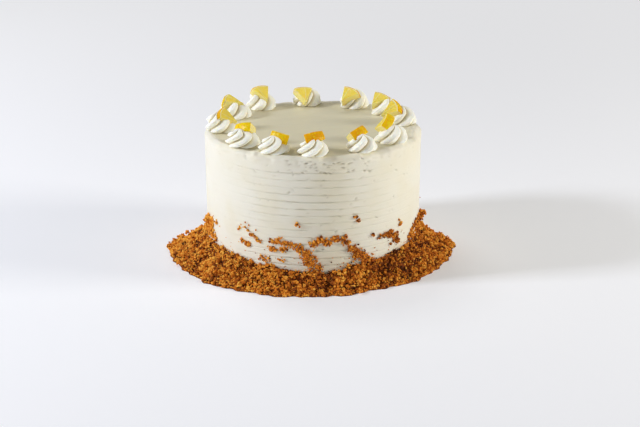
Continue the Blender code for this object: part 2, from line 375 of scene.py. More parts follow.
@dataclass(frozen=True)
class LemonFinish:
    """Lemon: dimpled zest, a thin pale pith, and flesh in long juicy cells with a weak painted glow; depths
    are in millimetres.
    """

    name: str = "lemon"
    zest_yellow: Colour = (0.98, 0.67, 0.003)
    zest_orange: Colour = (0.96, 0.45, 0.001)
    zest_spot: Colour = (1.0, 0.82, 0.015)
    zest_pore: Colour = (0.78, 0.36, 0.001)
    pith: Colour = (1.0, 0.84, 0.42)
    flesh: Colour = (1.0, 0.70, 0.055)
    flesh_pale: Colour = (1.0, 0.78, 0.15)
    membrane: Colour = (1.0, 0.85, 0.34)
    unlit: Colour = (0.0, 0.0, 0.0)
    zest_depth: float = 1.0
    pith_depth: float = 2.1
    sheen: float = 0.30
    soft: float = 0.5
    soft_reach: float = 3.0 * MM
    # Painted glow of the flesh, as if lit through; the peel doesn't glow
    painted_glow: float = 0.10
    # Noise cells in a metre
    pore_cells: float = 900.0
    blotch_cells: float = 230.0
    spot_cells: float = 480.0
    relief: float = 0.4 * MM

    def zest(self, graph: ShaderGraph, pores: Signal) -> bpy.types.NodeSocket:
        """The peel's colour.

        Args:
            graph: the material's nodes.
            pores: 0 in a pore and 1 beside it.

        Returns:
            The colour.
        """
        blotch = graph.noise(graph.place(), self.blotch_cells, 2.0)
        ripe = graph.step(graph.stored("ripeness") + 1.4 * blotch, 0.75, 1.45)
        spot = graph.step(graph.noise(graph.place(), self.spot_cells, 1.0), 0.52, 0.70)
        colour = graph.mix(ripe, self.zest_yellow, self.zest_orange)
        colour = graph.mix(spot * 0.7, colour, self.zest_spot)
        return graph.mix((1.0 - pores) * 0.30, colour, self.zest_pore)

    def material(self) -> bpy.types.Material:
        """Builds the material; it reads "peel", "membrane", "ripeness" and "juice".

        Returns:
            The material.
        """
        constants = {
            "Subsurface Weight": self.soft,
            "Subsurface Radius": (1.0, 0.75, 0.2),
            "Subsurface Scale": self.soft_reach,
            "Specular IOR Level": 0.18,
            # Painted glow of the flesh
            "Emission Strength": self.painted_glow,
        }
        graph = ShaderGraph(self.name, constants)
        peel = graph.stored("peel")
        juice = graph.stored_vector("juice")
        pores = graph.step(graph.cells(graph.place(), self.pore_cells), 0.05, 0.45)
        cell_edge = graph.step(graph.cells(juice, 1.0, "DISTANCE_TO_EDGE"), 0.0, 0.16)
        zest = self.zest(graph, pores)
        flesh = graph.mix(graph.noise(juice, 0.8), self.flesh, self.flesh_pale)
        flesh = graph.mix((1.0 - cell_edge) * 0.45, flesh, self.flesh_pale)
        flesh = graph.mix(graph.stored("membrane"), flesh, self.membrane)
        pith = graph.step(peel, self.zest_depth - 0.15, self.zest_depth + 0.25)
        inner = graph.step(peel, self.pith_depth - 0.3, self.pith_depth + 0.3)
        colour = graph.mix(inner, graph.mix(pith, zest, self.pith), flesh)
        # Painted glow: the flesh glows in its own colour, the peel and pith not at all
        graph.feed(graph.shader.inputs["Emission Color"], graph.mix(inner, self.unlit, flesh))
        height = pores * (1.0 - pith) + cell_edge * inner
        return graph.finish(colour, height, self.relief, self.sheen - 0.04 * inner)


@dataclass(frozen=True)
class BiscuitFinish:
    """Baked biscuit crumb: from scorched brown to golden, dry and rough."""

    name: str = "biscuit crumb"
    scorched: Colour = (0.060, 0.011, 0.001)
    brown: Colour = (0.410, 0.098, 0.006)
    golden: Colour = (0.820, 0.270, 0.018)
    pale: Colour = (0.980, 0.500, 0.070)
    dullness: float = 0.78
    # Noise cells in a metre
    fine_cells: float = 1100.0
    relief: float = 0.5 * MM

    def material(self) -> bpy.types.Material:
        """Builds the material; it reads each crumb's stored tone, in which its bake is mixed with painted
        light and shade.

        Returns:
            The material.
        """
        graph = ShaderGraph(self.name, {"Specular IOR Level": 0.25})
        fine = graph.noise(graph.place(), self.fine_cells, 3.0)
        bake_and_painted_light = graph.stored("bake_and_painted_light") + (fine - 0.5) * 0.5
        stops = ((0.0, self.scorched), (0.34, self.brown), (0.66, self.golden), (1.0, self.pale))
        return graph.finish(graph.ramp(bake_and_painted_light, stops), fine, self.relief, self.dullness + 0.1 * fine)


@dataclass(frozen=True)
class FloorFinish:
    """The studio's plain pale floor, which glows more from 0.4 to 1.9 metres away."""

    name: str = "studio floor"
    colour: Colour = (0.90, 0.90, 0.91)
    near_glow: Colour = (0.09, 0.09, 0.093)
    far_glow: Colour = (0.36, 0.36, 0.365)
    glow_from: float = 0.4
    glow_to: float = 1.9
    dullness: float = 0.75
    # Noise cells in a metre
    grain_cells: float = 600.0
    relief: float = 0.02 * MM

    def material(self) -> bpy.types.Material:
        """Builds the material, with a weak glow as of a lit sweep of paper.

        Returns:
            The material.
        """
        graph = ShaderGraph(self.name, {"Specular IOR Level": 0.1, "Emission Strength": 1.0})
        reach = graph.node("ShaderNodeVectorMath", {"operation": "LENGTH"}, {0: graph.place()})
        far = graph.step(Signal(graph, reach.outputs["Value"]), self.glow_from, self.glow_to)
        graph.feed(graph.shader.inputs["Emission Color"], graph.mix(far, self.near_glow, self.far_glow))
        grain = graph.noise(graph.place(), self.grain_cells)
        return graph.finish(self.colour, grain, self.relief, self.dullness)


class Noise:
    """Smooth seeded random values in space."""

    ROUND = 256
    SIDE = 32

    def __init__(self, seed: int) -> None:
        """Fills the lattice from a seed."""
        shape = (self.ROUND, self.SIDE, self.SIDE)
        self.lattice = np.random.default_rng(seed).uniform(-1.0, 1.0, shape)

    def at(self, cells: np.ndarray, wrap: int = ROUND) -> np.ndarray:
        """Noise at points that are given in cells.

        Args:
            cells: points, three numbers each.
            wrap: after how many cells the first coordinate repeats.

        Returns:
            Values from -1 to 1.
        """
        low = np.floor(cells).astype(int)
        ease = cells - low
        ease = ease * ease * (3.0 - 2.0 * ease)
        total = np.zeros(len(cells))
        for corner in itertools.product((0, 1), repeat=3):
            weight = np.prod(np.where(corner, ease, 1.0 - ease), axis=1)
            i, j, k = (low + np.array(corner)).T
            total += weight * self.lattice[i % wrap, j % self.SIDE, k % self.SIDE]
        return total

    def layered(self, points: np.ndarray, size: float, octaves: int = 3) -> np.ndarray:
        """Noise in layers that halve in size and strength.

        Args:
            points: points in metres.
            size: the largest cell in metres.
            octaves: how many layers.

        Returns:
            Values from about -1 to 1.
        """
        total = np.zeros(len(points))
        for i in range(octaves):
            total += self.at(points / size * 2.0**i + 7.3 * i) / 2.0**i
        return total


def smooth_step(value: np.ndarray, low: float, high: float) -> np.ndarray:
    """A smooth step from 0 at low to 1 at high."""
    share = np.clip((value - low) / (high - low), 0.0, 1.0)
    return share * share * (3.0 - 2.0 * share)


def wrapped(angle: np.ndarray, period: float = math.tau) -> np.ndarray:
    """Angles brought to within half a period of 0."""
    return np.mod(angle + period / 2.0, period) - period / 2.0


def placed(points: np.ndarray, frame_there: Matrix) -> np.ndarray:
    """Points moved from a frame of their own to the cake's."""
    known = np.array(frame_there)
    return points @ known[:3, :3].T + known[:3, 3]


def unit(vectors: np.ndarray) -> np.ndarray:
    """Vectors scaled to length 1."""
    return vectors / np.maximum(np.linalg.norm(vectors, axis=-1, keepdims=True), 1e-12)


def around(values: Sequence[float], angle: np.ndarray) -> np.ndarray:
    """A smooth value between numbers that are spread evenly round a circle from +X.

    Args:
        values: the numbers.
        angle: angles in radians.

    Returns:
        One value for each angle.
    """
    known = np.asarray(values)
    place = (angle / math.tau) % 1.0 * len(known)
    low = place.astype(int) % len(known)
    ease = 0.5 - 0.5 * np.cos(np.pi * (place - np.floor(place)))
    return known[low] + (known[(low + 1) % len(known)] - known[low]) * ease


def round_points(radius: np.ndarray, angle: np.ndarray, height: np.ndarray) -> np.ndarray:
    """Points from radius, angle and height."""
    return np.stack([radius * np.cos(angle), radius * np.sin(angle), height], axis=-1)


def ring_faces(rows: int, columns: int) -> np.ndarray:
    """Quads between closed rings of points.

    Args:
        rows: how many rings.
        columns: points in a ring.

    Returns:
        The quads, four point numbers each.
    """
    row, column = np.meshgrid(np.arange(rows - 1), np.arange(columns), indexing="ij")
    low = row * columns + column
    across = row * columns + (column + 1) % columns
    return np.stack([low, across, across + columns, low + columns], axis=-1).reshape(-1, 4)


def new_piece(
    name: str,
    points: np.ndarray,
    faces: Sequence[Any],
    material: bpy.types.Material,
    replaced: Sequence[str] = (),
    values: Mapping[str, np.ndarray] | None = None,
    smooth: bool = True,
) -> bpy.types.Object:
    """Makes one piece that rides on the cake.

    Args:
        name: the piece's name.
        points: its points.
        faces: its faces.
        material: its finish.
        replaced: the nodes that it stands for.
        values: numbers or vectors to store on its points.
        smooth: whether its faces are shaded smooth.

    Returns:
        The piece.
    """
    mesh = bpy.data.meshes.new(name)
    mesh.from_pydata(points, [], faces)
    mesh.validate()
    if smooth:
        mesh.shade_smooth()
    else:
        mesh.shade_flat()
    store_values(mesh, values or {})
    mesh.materials.append(material)
    piece = bpy.data.objects.new(name, mesh)
    bpy.context.scene.collection.objects.link(piece)
    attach(piece, BODY)
    if replaced:
        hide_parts(*replaced)
    logging.info("%s: %d points, %d faces", name, len(mesh.vertices), len(mesh.polygons))
    return piece


def store_values(mesh: bpy.types.Mesh, values: Mapping[str, np.ndarray]) -> None:
    """Stores numbers or vectors on a mesh's points.

    Args:
        mesh: the mesh.
        values: one array for each name, with a row for each point.
    """
    for key, value in values.items():
        kind, part = ("FLOAT_VECTOR", "vector") if value.ndim == 2 else ("FLOAT", "value")
        stored = mesh.attributes.new(key, kind, "POINT")
        stored.data.foreach_set(part, np.ascontiguousarray(value, dtype=np.float32).ravel())


@dataclass(frozen=True)
class SideWave:
    """Smooth noise round the side: cells in a turn, their height in mm, and a number that sets it apart."""

    cells: int
    tall: float
    layer: float

    def at(self, noise: Noise, turn: np.ndarray, height: np.ndarray) -> np.ndarray:
        """Its values at points of the side.

        Args:
            noise: random values.
            turn: the points' shares of a turn.
            height: their heights.

        Returns:
            Values from -1 to 1.
        """
        place = [turn * self.cells, height / (self.tall * MM), np.full(len(turn), self.layer)]
        return noise.at(np.stack(place, -1), self.cells)


@dataclass
class FrostedCake:
    """The cake's frosting: side with comb marks, rough rounded edge, and spread top."""

    radius: float = 107.5 * MM
    height: float = 128.6 * MM
    edge_round: float = 4.0 * MM
    base_chamfer: float = 1.0 * MM
    columns: int = 912
    rows_over_marks: int = 13
    edge_rows: int = 8
    top_rows: int = 20
    inner_radius: float = 62.0 * MM
    inner_rings: int = 17
    groove_count: int = 16
    groove_pitch: float = 7.0 * MM
    lowest_groove: float = 8.5 * MM
    groove_depth: float = 0.82 * MM
    groove_width: float = 0.5 * MM
    groove_wander: float = 0.7 * MM
    burr_share: float = 0.22
    burr_distance: float = 1.25 * MM
    burr_width: float = 0.45 * MM
    marks_from: float = 1.0 * MM
    marks_full: float = 4.0 * MM
    marks_fade: float = 6.0 * MM
    side_wave: float = 0.45 * MM
    side_lump: float = 0.16 * MM
    side_inset: float = 0.35 * MM
    rim_fade: float = 7.0 * MM
    rim_from: float = 82.0 * MM
    rim_full: float = 98.0 * MM
    top_edge: float = 103.0 * MM
    top_full: float = 97.0 * MM
    rim_lump_out: float = 1.0 * MM
    rim_rough_out: float = 0.5 * MM
    rim_lump_up: float = 0.7 * MM
    rim_rough_up: float = 0.35 * MM
    rim_drop: float = 0.4 * MM
    lip_radius: float = 103.0 * MM
    lip_width: float = 2.0 * MM
    lip_height: float = 1.1 * MM
    dish: float = 0.8 * MM
    dish_radius: float = 70.0 * MM
    stroke_height: float = 0.62 * MM
    ridge_height: float = 0.16 * MM
    pit_count: int = 360
    pits_for_one_in_band: int = 7
    full_pit: float = 1.1 * MM
    seed: int = 11
    finish: FrostingFinish = field(default_factory=FrostingFinish)

    # How hard the comb pressed, every 15 degrees from +X
    COMB_FORCE = (
        (0.08, 0.15, 0.30, 0.55, 0.75, 0.90, 0.95, 0.90, 0.80, 0.65, 0.45, 0.25)
        + (0.10, 0.04, 0.05, 0.12, 0.62, 1.0, 1.05, 0.90, 0.50, 0.16, 0.08, 0.06)
    )
    # Rows of points above the foot, and below and above the middle of a comb mark, in mm
    FOOT_ROWS = (2.5, 4.0)
    MARK_ROWS = (-3.4, -2.2, -1.15, -0.5, 0.0, 0.5, 1.15, 2.2)
    # How deep the torn pits are, and how far they are drawn out, every 30 degrees from +X
    PIT_FORCE = (0.15, 0.5, 0.8, 0.9, 0.8, 0.5, 0.2, 0.15, 0.75, 1.1, 1.1, 0.45)
    PIT_STRETCH = (1.0, 1.2, 1.4, 1.2, 1.0, 1.0, 1.0, 1.0, 1.0, 1.1, 1.6, 1.5)
    # Height of the lowest pit and how far pits reach over it, in mm
    PIT_HEIGHTS = (3.0, 123.0)
    # The band of pits under the rim in front: bearings in degrees and heights in mm
    BAND_BEARINGS = (256.0, 302.0)
    BAND_HEIGHTS = (112.0, 126.0)
    # The smeared lump: bearing in degrees, then its distance, half length, half width and height in mm
    SMEAR = (-12.0, 99.0, 11.0, 6.0, 5.5)
    # Noise that moves the comb marks, bends the side, and makes lumps and roughness
    WANDER = SideWave(14, 22.0, 3.3)
    BEND = SideWave(9, 45.0, 8.1)
    LUMP = SideWave(48, 13.0, 1.7)
    ROUGH = SideWave(150, 4.0, 4.9)
    # The spatula's way over the top, and the length and width in mm of its strokes and ridges
    STROKE_WAY = (0.86, 0.5)
    STROKE_CELL = (75.0, 9.0)
    RIDGE_CELL = (40.0, 3.5)
    # Rings of the top's middle from which only every second point goes on
    HALVED_RINGS = (0, 7, 13)

    def side_heights(self) -> np.ndarray:
        """Heights of the side's rows, close together at each comb mark.

        Returns:
            The heights, from the foot up to the rounded edge.
        """
        near = np.array(self.MARK_ROWS) * MM
        heights = [self.lowest_groove + i * self.groove_pitch + near for i in range(self.groove_count)]
        below = [self.base_chamfer, *(row * MM for row in self.FOOT_ROWS)]
        top = self.height - self.edge_round
        above = np.linspace(heights[-1][-1], top, self.rows_over_marks + 1)[1:]
        return np.concatenate([below, *heights, above])

    def rows(self) -> tuple[np.ndarray, np.ndarray]:
        """Radius and height of each row, up the side, over the edge and in to the middle.

        Returns:
            The radii and the heights.
        """
        side = self.side_heights()
        turn = np.radians(np.linspace(0.0, 90.0, self.edge_rows + 1))[1:]
        edge_r = self.radius - self.edge_round + self.edge_round * np.cos(turn)
        edge_z = self.height - self.edge_round + self.edge_round * np.sin(turn)
        top_r = np.linspace(self.radius - self.edge_round, self.inner_radius, self.top_rows + 1)[1:]
        foot_r = self.radius - self.base_chamfer
        radii = np.concatenate([[foot_r], np.full(len(side), self.radius), edge_r, top_r])
        heights = np.concatenate([[0.0], side, edge_z, np.full(len(top_r), self.height)])
        return radii, heights

    def comb(self, angle: np.ndarray, height: np.ndarray, noise: Noise) -> np.ndarray:
        """How deep the comb marks are at points of the side.

        Args:
            angle: angles of the points.
            height: their heights before the comb's own wander.
            noise: random values.

        Returns:
            A share of the full depth, below 0 on the raised burrs.
        """
        nearest = np.round((height - self.lowest_groove) / self.groove_pitch)
        number = np.clip(nearest, 0, self.groove_count - 1)
        away = np.abs(height - self.lowest_groove - number * self.groove_pitch)
        turn = angle / math.tau
        broken = noise.at(np.stack([turn * 90.0, number * 3.1, number * 0.0], -1), 90)
        broad = noise.at(np.stack([turn * 11.0, number * 0.45, number * 0.0 + 5.5], -1), 11)
        strength = np.clip(0.72 + 0.55 * broken + 0.5 * broad, 0.0, 1.25)
        cut = np.exp(-((away / self.groove_width) ** 2))
        burr = self.burr_share * np.exp(-(((away - self.burr_distance) / self.burr_width) ** 2))
        return strength * around(self.COMB_FORCE, angle) * (cut - burr)

    def pits(self, angle: np.ndarray, height: np.ndarray) -> np.ndarray:
        """Depth in metres of the small torn pits.

        Args:
            angle: angles of the points.
            height: their heights.

        Returns:
            A depth for each point.
        """
        rng = np.random.default_rng(self.seed)
        lowest, reach = self.PIT_HEIGHTS
        depth = np.zeros(len(angle))
        for number in range(self.pit_count):
            bearing = rng.uniform(0.0, math.tau)
            middle = (lowest + reach * rng.beta(1.7, 0.9)) * MM
            if number % self.pits_for_one_in_band == 0:
                bearing = math.radians(rng.uniform(*self.BAND_BEARINGS))
                middle = rng.uniform(*self.BAND_HEIGHTS) * MM
            at = np.array([bearing])
            wide = rng.uniform(0.6, 1.6) * MM * around(self.PIT_STRETCH, at)[0]
            tall = rng.uniform(0.5, 0.9) * MM
            deep = (0.5 + 1.4 * rng.uniform() ** 2) * MM * around(self.PIT_FORCE, at)[0]
            across = wrapped(angle - bearing) * self.radius
            up = height - middle - rng.uniform(-0.5, 0.5) * across
            near = (np.abs(across) < 4.0 * wide) & (np.abs(up) < 4.0 * tall)
            torn = (across[near] / wide) ** 2 + (up[near] / tall) ** 2
            lifted = ((up[near] - 1.3 * tall) / tall) ** 2 + (across[near] / wide) ** 2
            depth[near] += deep * (np.exp(-torn) - 0.45 * np.exp(-lifted))
        return depth

    def smear(self, radius: np.ndarray, angle: np.ndarray, rough: np.ndarray) -> np.ndarray:
        """Height of the lump of cream that is smeared on the rim.

        Args:
            radius: radii of points of the top.
            angle: their angles.
            rough: fine noise at them.

        Returns:
            A height to add to each.
        """
        bearing, distance, long, wide, tall = self.SMEAR
        along = wrapped(angle - math.radians(bearing)) * distance * MM
        across = radius - distance * MM
        lump = np.exp(-((along / (long * MM)) ** 4) - (across / (wide * MM)) ** 4)
        return tall * MM * lump * (1.0 + 0.2 * rough)

    def shape(self, noise: Noise) -> tuple[np.ndarray, dict[str, np.ndarray]]:
        """Places every point of the side, the edge and the outer top.

        Args:
            noise: random values.

        Returns:
            The points, row by row, and the values to store on them.
        """
        radii, heights = self.rows()
        turns = np.linspace(0.0, math.tau, self.columns, endpoint=False) + math.pi / 2.0
        radius = np.repeat(radii, self.columns)
        height = np.repeat(heights, self.columns)
        angle = np.tile(turns, len(radii))
        turn = (angle - math.pi / 2.0) / math.tau
        top = self.height - self.edge_round
        over_foot = smooth_step(height, self.marks_from, self.marks_full)
        on_side = over_foot * (1.0 - smooth_step(height, top - self.marks_fade, top))
        outer = smooth_step(radius, self.rim_from, self.rim_full)
        at_edge = smooth_step(height, top - self.rim_fade, top) * outer
        flat = 1.0 - smooth_step(radius, self.top_full, self.top_edge)
        side = 1.0 - flat
        comb = self.comb(angle, height, noise) * on_side
        pit = self.pits(angle, height)
        wander = self.WANDER.at(noise, turn, height)
        bend = self.BEND.at(noise, turn, height)
        lump = self.LUMP.at(noise, turn, height)
        rough = self.ROUGH.at(noise, turn, height)
        radius = radius - side * (self.groove_depth * comb + pit)
        radius += side * (self.side_wave * bend + self.side_lump * lump - self.side_inset)
        lip = np.exp(-(((radius - self.lip_radius) / self.lip_width) ** 2)) * at_edge
        radius += side * at_edge * (self.rim_lump_out * lump + self.rim_rough_out * rough)
        height = height + wander * self.groove_wander * on_side
        height += at_edge * (self.rim_lump_up * lump + self.rim_rough_up * rough - self.rim_drop)
        height += lip * self.lip_height * (0.8 + 0.9 * lump) + at_edge * self.smear(radius, angle, rough)
        points = round_points(radius, angle, height)
        points[:, 2] += flat * self.spread(points, noise)
        side_drag = np.stack([turn * 40.0, points[:, 2] / (1.1 * MM), radius / (4.0 * MM)], -1)
        drag = side_drag * side[:, None] + self.flat_drag(points) * flat[:, None]
        # Painted shade: how deep each point lies in a comb mark or pit, which the finish darkens
        hollow_shade = np.clip(side * (0.9 * np.clip(comb, 0.0, 1.2) + pit / self.full_pit), 0.0, 1.0)
        return points, {"drag": drag, "hollow_shade": hollow_shade, "flat": flat}

    @staticmethod
    def flat_drag(points: np.ndarray) -> np.ndarray:
        """Coordinates for the drag marks of the top, in cells of 30 by 5 mm."""
        return np.stack([points[:, 0] / (30.0 * MM), points[:, 1] / (5.0 * MM), np.zeros(len(points))], -1)

    def strokes(
        self, points: np.ndarray, noise: Noise, cell: tuple[float, float], layer: float
    ) -> np.ndarray:
        """Noise that is drawn out along the spatula's way.

        Args:
            points: points of the top.
            noise: random values.
            cell: the length and width of a cell in millimetres.
            layer: a number that sets one noise apart from another.

        Returns:
            Values from -1 to 1.
        """
        x, y = points[:, 0], points[:, 1]
        ahead, aside = self.STROKE_WAY
        along = (ahead * x + aside * y) / (cell[0] * MM)
        across = (ahead * y - aside * x) / (cell[1] * MM)
        return noise.at(np.stack([along, across, np.full(len(x), layer)], -1))

    def spread(self, points: np.ndarray, noise: Noise) -> np.ndarray:
        """The top's low relief, left by a spatula.

        Args:
            points: points of the top.
            noise: random values.

        Returns:
            A height to add to each.
        """
        out = np.hypot(points[:, 0], points[:, 1])
        dish = -self.dish * (1.0 - np.clip(out / self.dish_radius, 0.0, 1.0) ** 2)
        wave = self.strokes(points, noise, self.STROKE_CELL, 2.2)
        ridge = self.strokes(points, noise, self.RIDGE_CELL, 6.2)
        return dish + self.stroke_height * wave + self.ridge_height * ridge

    def build(self) -> None:
        """Builds the frosting, in place of the plain cake."""
        noise = Noise(self.seed)
        points, values = self.shape(noise)
        faces = ring_faces(len(points) // self.columns, self.columns).tolist()
        faces.append(list(reversed(range(self.columns))))
        inner, inner_faces = self.inner_top(points[-self.columns :], len(points))
        inner[:, 2] += self.spread(inner, noise)
        inner_values = {
            "drag": self.flat_drag(inner),
            "hollow_shade": np.zeros(len(inner)),
            "flat": np.ones(len(inner)),
        }
        joined = {key: np.concatenate([values[key], inner_values[key]]) for key in values}
        new_piece(
            "frosting",
            np.concatenate([points, inner]),
            faces + inner_faces,
            self.finish.material(),
            ["frosted_cake"],
            joined,
        )

    def inner_top(self, rim: np.ndarray, first: int) -> tuple[np.ndarray, list[list[int]]]:
        """The top's middle, with half as many points round it after each few rings.

        Args:
            rim: the points that it starts from.
            first: the number of its own first point.

        Returns:
            Its points and its faces.
        """
        angle = np.arctan2(rim[:, 1], rim[:, 0])
        radius = float(np.hypot(rim[0, 0], rim[0, 1]))
        points: list[np.ndarray] = []
        faces: list[list[int]] = []
        outer = list(range(first - len(rim), first))
        start = first
        for ring in range(self.inner_rings):
            if ring in self.HALVED_RINGS:
                angle = angle[::2]
            inner = list(range(start, start + len(angle)))
            share = 1.0 - (ring + 1) / (self.inner_rings + 1)
            level = np.full(len(angle), self.height)
            points.append(round_points(np.full(len(angle), radius * share), angle, level))
            faces += self.between(outer, inner)
            outer = inner
            start += len(angle)
        points.append(np.array([[0.0, 0.0, self.height]]))
        faces += [[outer[i], outer[(i + 1) % len(outer)], start] for i in range(len(outer))]
        return np.concatenate(points), faces

    @staticmethod
    def between(outer: list[int], inner: list[int]) -> list[list[int]]:
        """Faces between two rings.

        Args:
            outer: point numbers of the outer ring.
            inner: those of the inner one, as many or half as many.

        Returns:
            The faces.
        """
        made = []
        if len(outer) == len(inner):
            for i in range(len(outer)):
                j = (i + 1) % len(outer)
                made.append([outer[i], outer[j], inner[j], inner[i]])
            return made
        for i in range(len(inner)):
            j = (i + 1) % len(inner)
            start, middle, end = outer[2 * i], outer[2 * i + 1], outer[2 * j]
            made += [[start, middle, inner[i]], [middle, inner[j], inner[i]], [middle, end, inner[j]]]
        return made


@dataclass(frozen=True)
class WedgePlace:
    """Where a lemon wedge leans on its swirl: lengths in millimetres, angles in degrees."""

    inset: float
    side: float
    lift: float
    tilt: float
    turn: float
    roll: float
    ripeness: float


@dataclass(frozen=True)
class SwirlPlace:
    """One piped swirl: bearing and twist in degrees, lengths in millimetres."""

    bearing: float
    distance: float
    radius: float
    height: float
    twist: float
    wedge: WedgePlace

    def frame(self, top: float) -> Matrix:
        """Its own frame on the cake's top, with +X outwards.

        Args:
            top: the height that the frame stands at.

        Returns:
            The frame.
        """
        angle = math.radians(self.bearing)
        reach = self.distance * MM
        place = Matrix.Translation((reach * math.cos(angle), reach * math.sin(angle), top))
        return place @ Matrix.Rotation(angle, 4, "Z")

    def wedge_frame(self, top: float) -> Matrix:
        """The frame of its lemon wedge: +X from the tip to the peel, +Z through the slice.

        Args:
            top: the height that the swirl's frame stands at.

        Returns:
            The frame.
        """
        wedge = self.wedge
        tip = Matrix.Translation((-wedge.inset * MM, wedge.side * MM, wedge.lift * MM))
        turned = Matrix.Rotation(math.radians(wedge.turn), 4, "Z")
        turned = turned @ Matrix.Rotation(-math.radians(wedge.tilt), 4, "Y")
        return self.frame(top) @ tip @ turned @ Matrix.Rotation(math.radians(wedge.roll), 4, "X")


SWIRLS = (
    SwirlPlace(-90.0, 93.0, 14.6, 15.0, 108.0, WedgePlace(12.5, -3.6, 1.1, 35.0, 23.0, 5.0, 0.75)),
    SwirlPlace(-60.6, 92.5, 14.4, 15.5, 76.0, WedgePlace(14.5, -3.2, 0.6, 39.0, 12.0, 13.0, 0.6)),
    SwirlPlace(-34.5, 90.0, 15.8, 16.5, 68.0, WedgePlace(13.2, 3.5, 3.0, 42.0, -12.0, 34.0, 0.3)),
    SwirlPlace(9.0, 89.0, 15.2, 17.0, 68.0, WedgePlace(16.2, 3.9, 2.1, 37.0, -12.0, 33.0, 0.5)),
    SwirlPlace(35.0, 90.0, 14.8, 16.5, 72.0, WedgePlace(14.3, 4.1, 4.0, 17.0, 15.0, 14.0, 0.55)),
    SwirlPlace(62.0, 91.0, 15.2, 18.0, 70.0, WedgePlace(16.6, 5.6, 1.8, 30.0, -15.0, 16.0, 0.5)),
    SwirlPlace(93.7, 90.5, 15.0, 17.5, 78.0, WedgePlace(16.7, 3.2, 0.6, 30.0, 8.0, 2.0, 0.3)),
    SwirlPlace(125.5, 91.5, 15.6, 17.0, 84.0, WedgePlace(8.2, 0.5, 2.8, 36.0, -3.0, -1.0, 0.3)),
    SwirlPlace(153.0, 88.0, 15.8, 17.5, 86.0, WedgePlace(6.5, -2.1, 5.6, 18.0, 16.0, -6.0, 0.05)),
    SwirlPlace(-173.0, 90.0, 15.6, 18.0, 118.0, WedgePlace(12.3, -0.4, 1.3, 33.0, -6.0, -23.0, 0.55)),
    SwirlPlace(-137.0, 90.0, 16.6, 15.5, 134.0, WedgePlace(16.4, -0.6, 3.7, 25.0, 3.0, 18.0, 0.15)),
    SwirlPlace(-113.0, 92.5, 14.6, 15.5, 130.0, WedgePlace(17.8, 5.6, 2.3, 21.0, -5.0, -9.0, 0.3)),
)


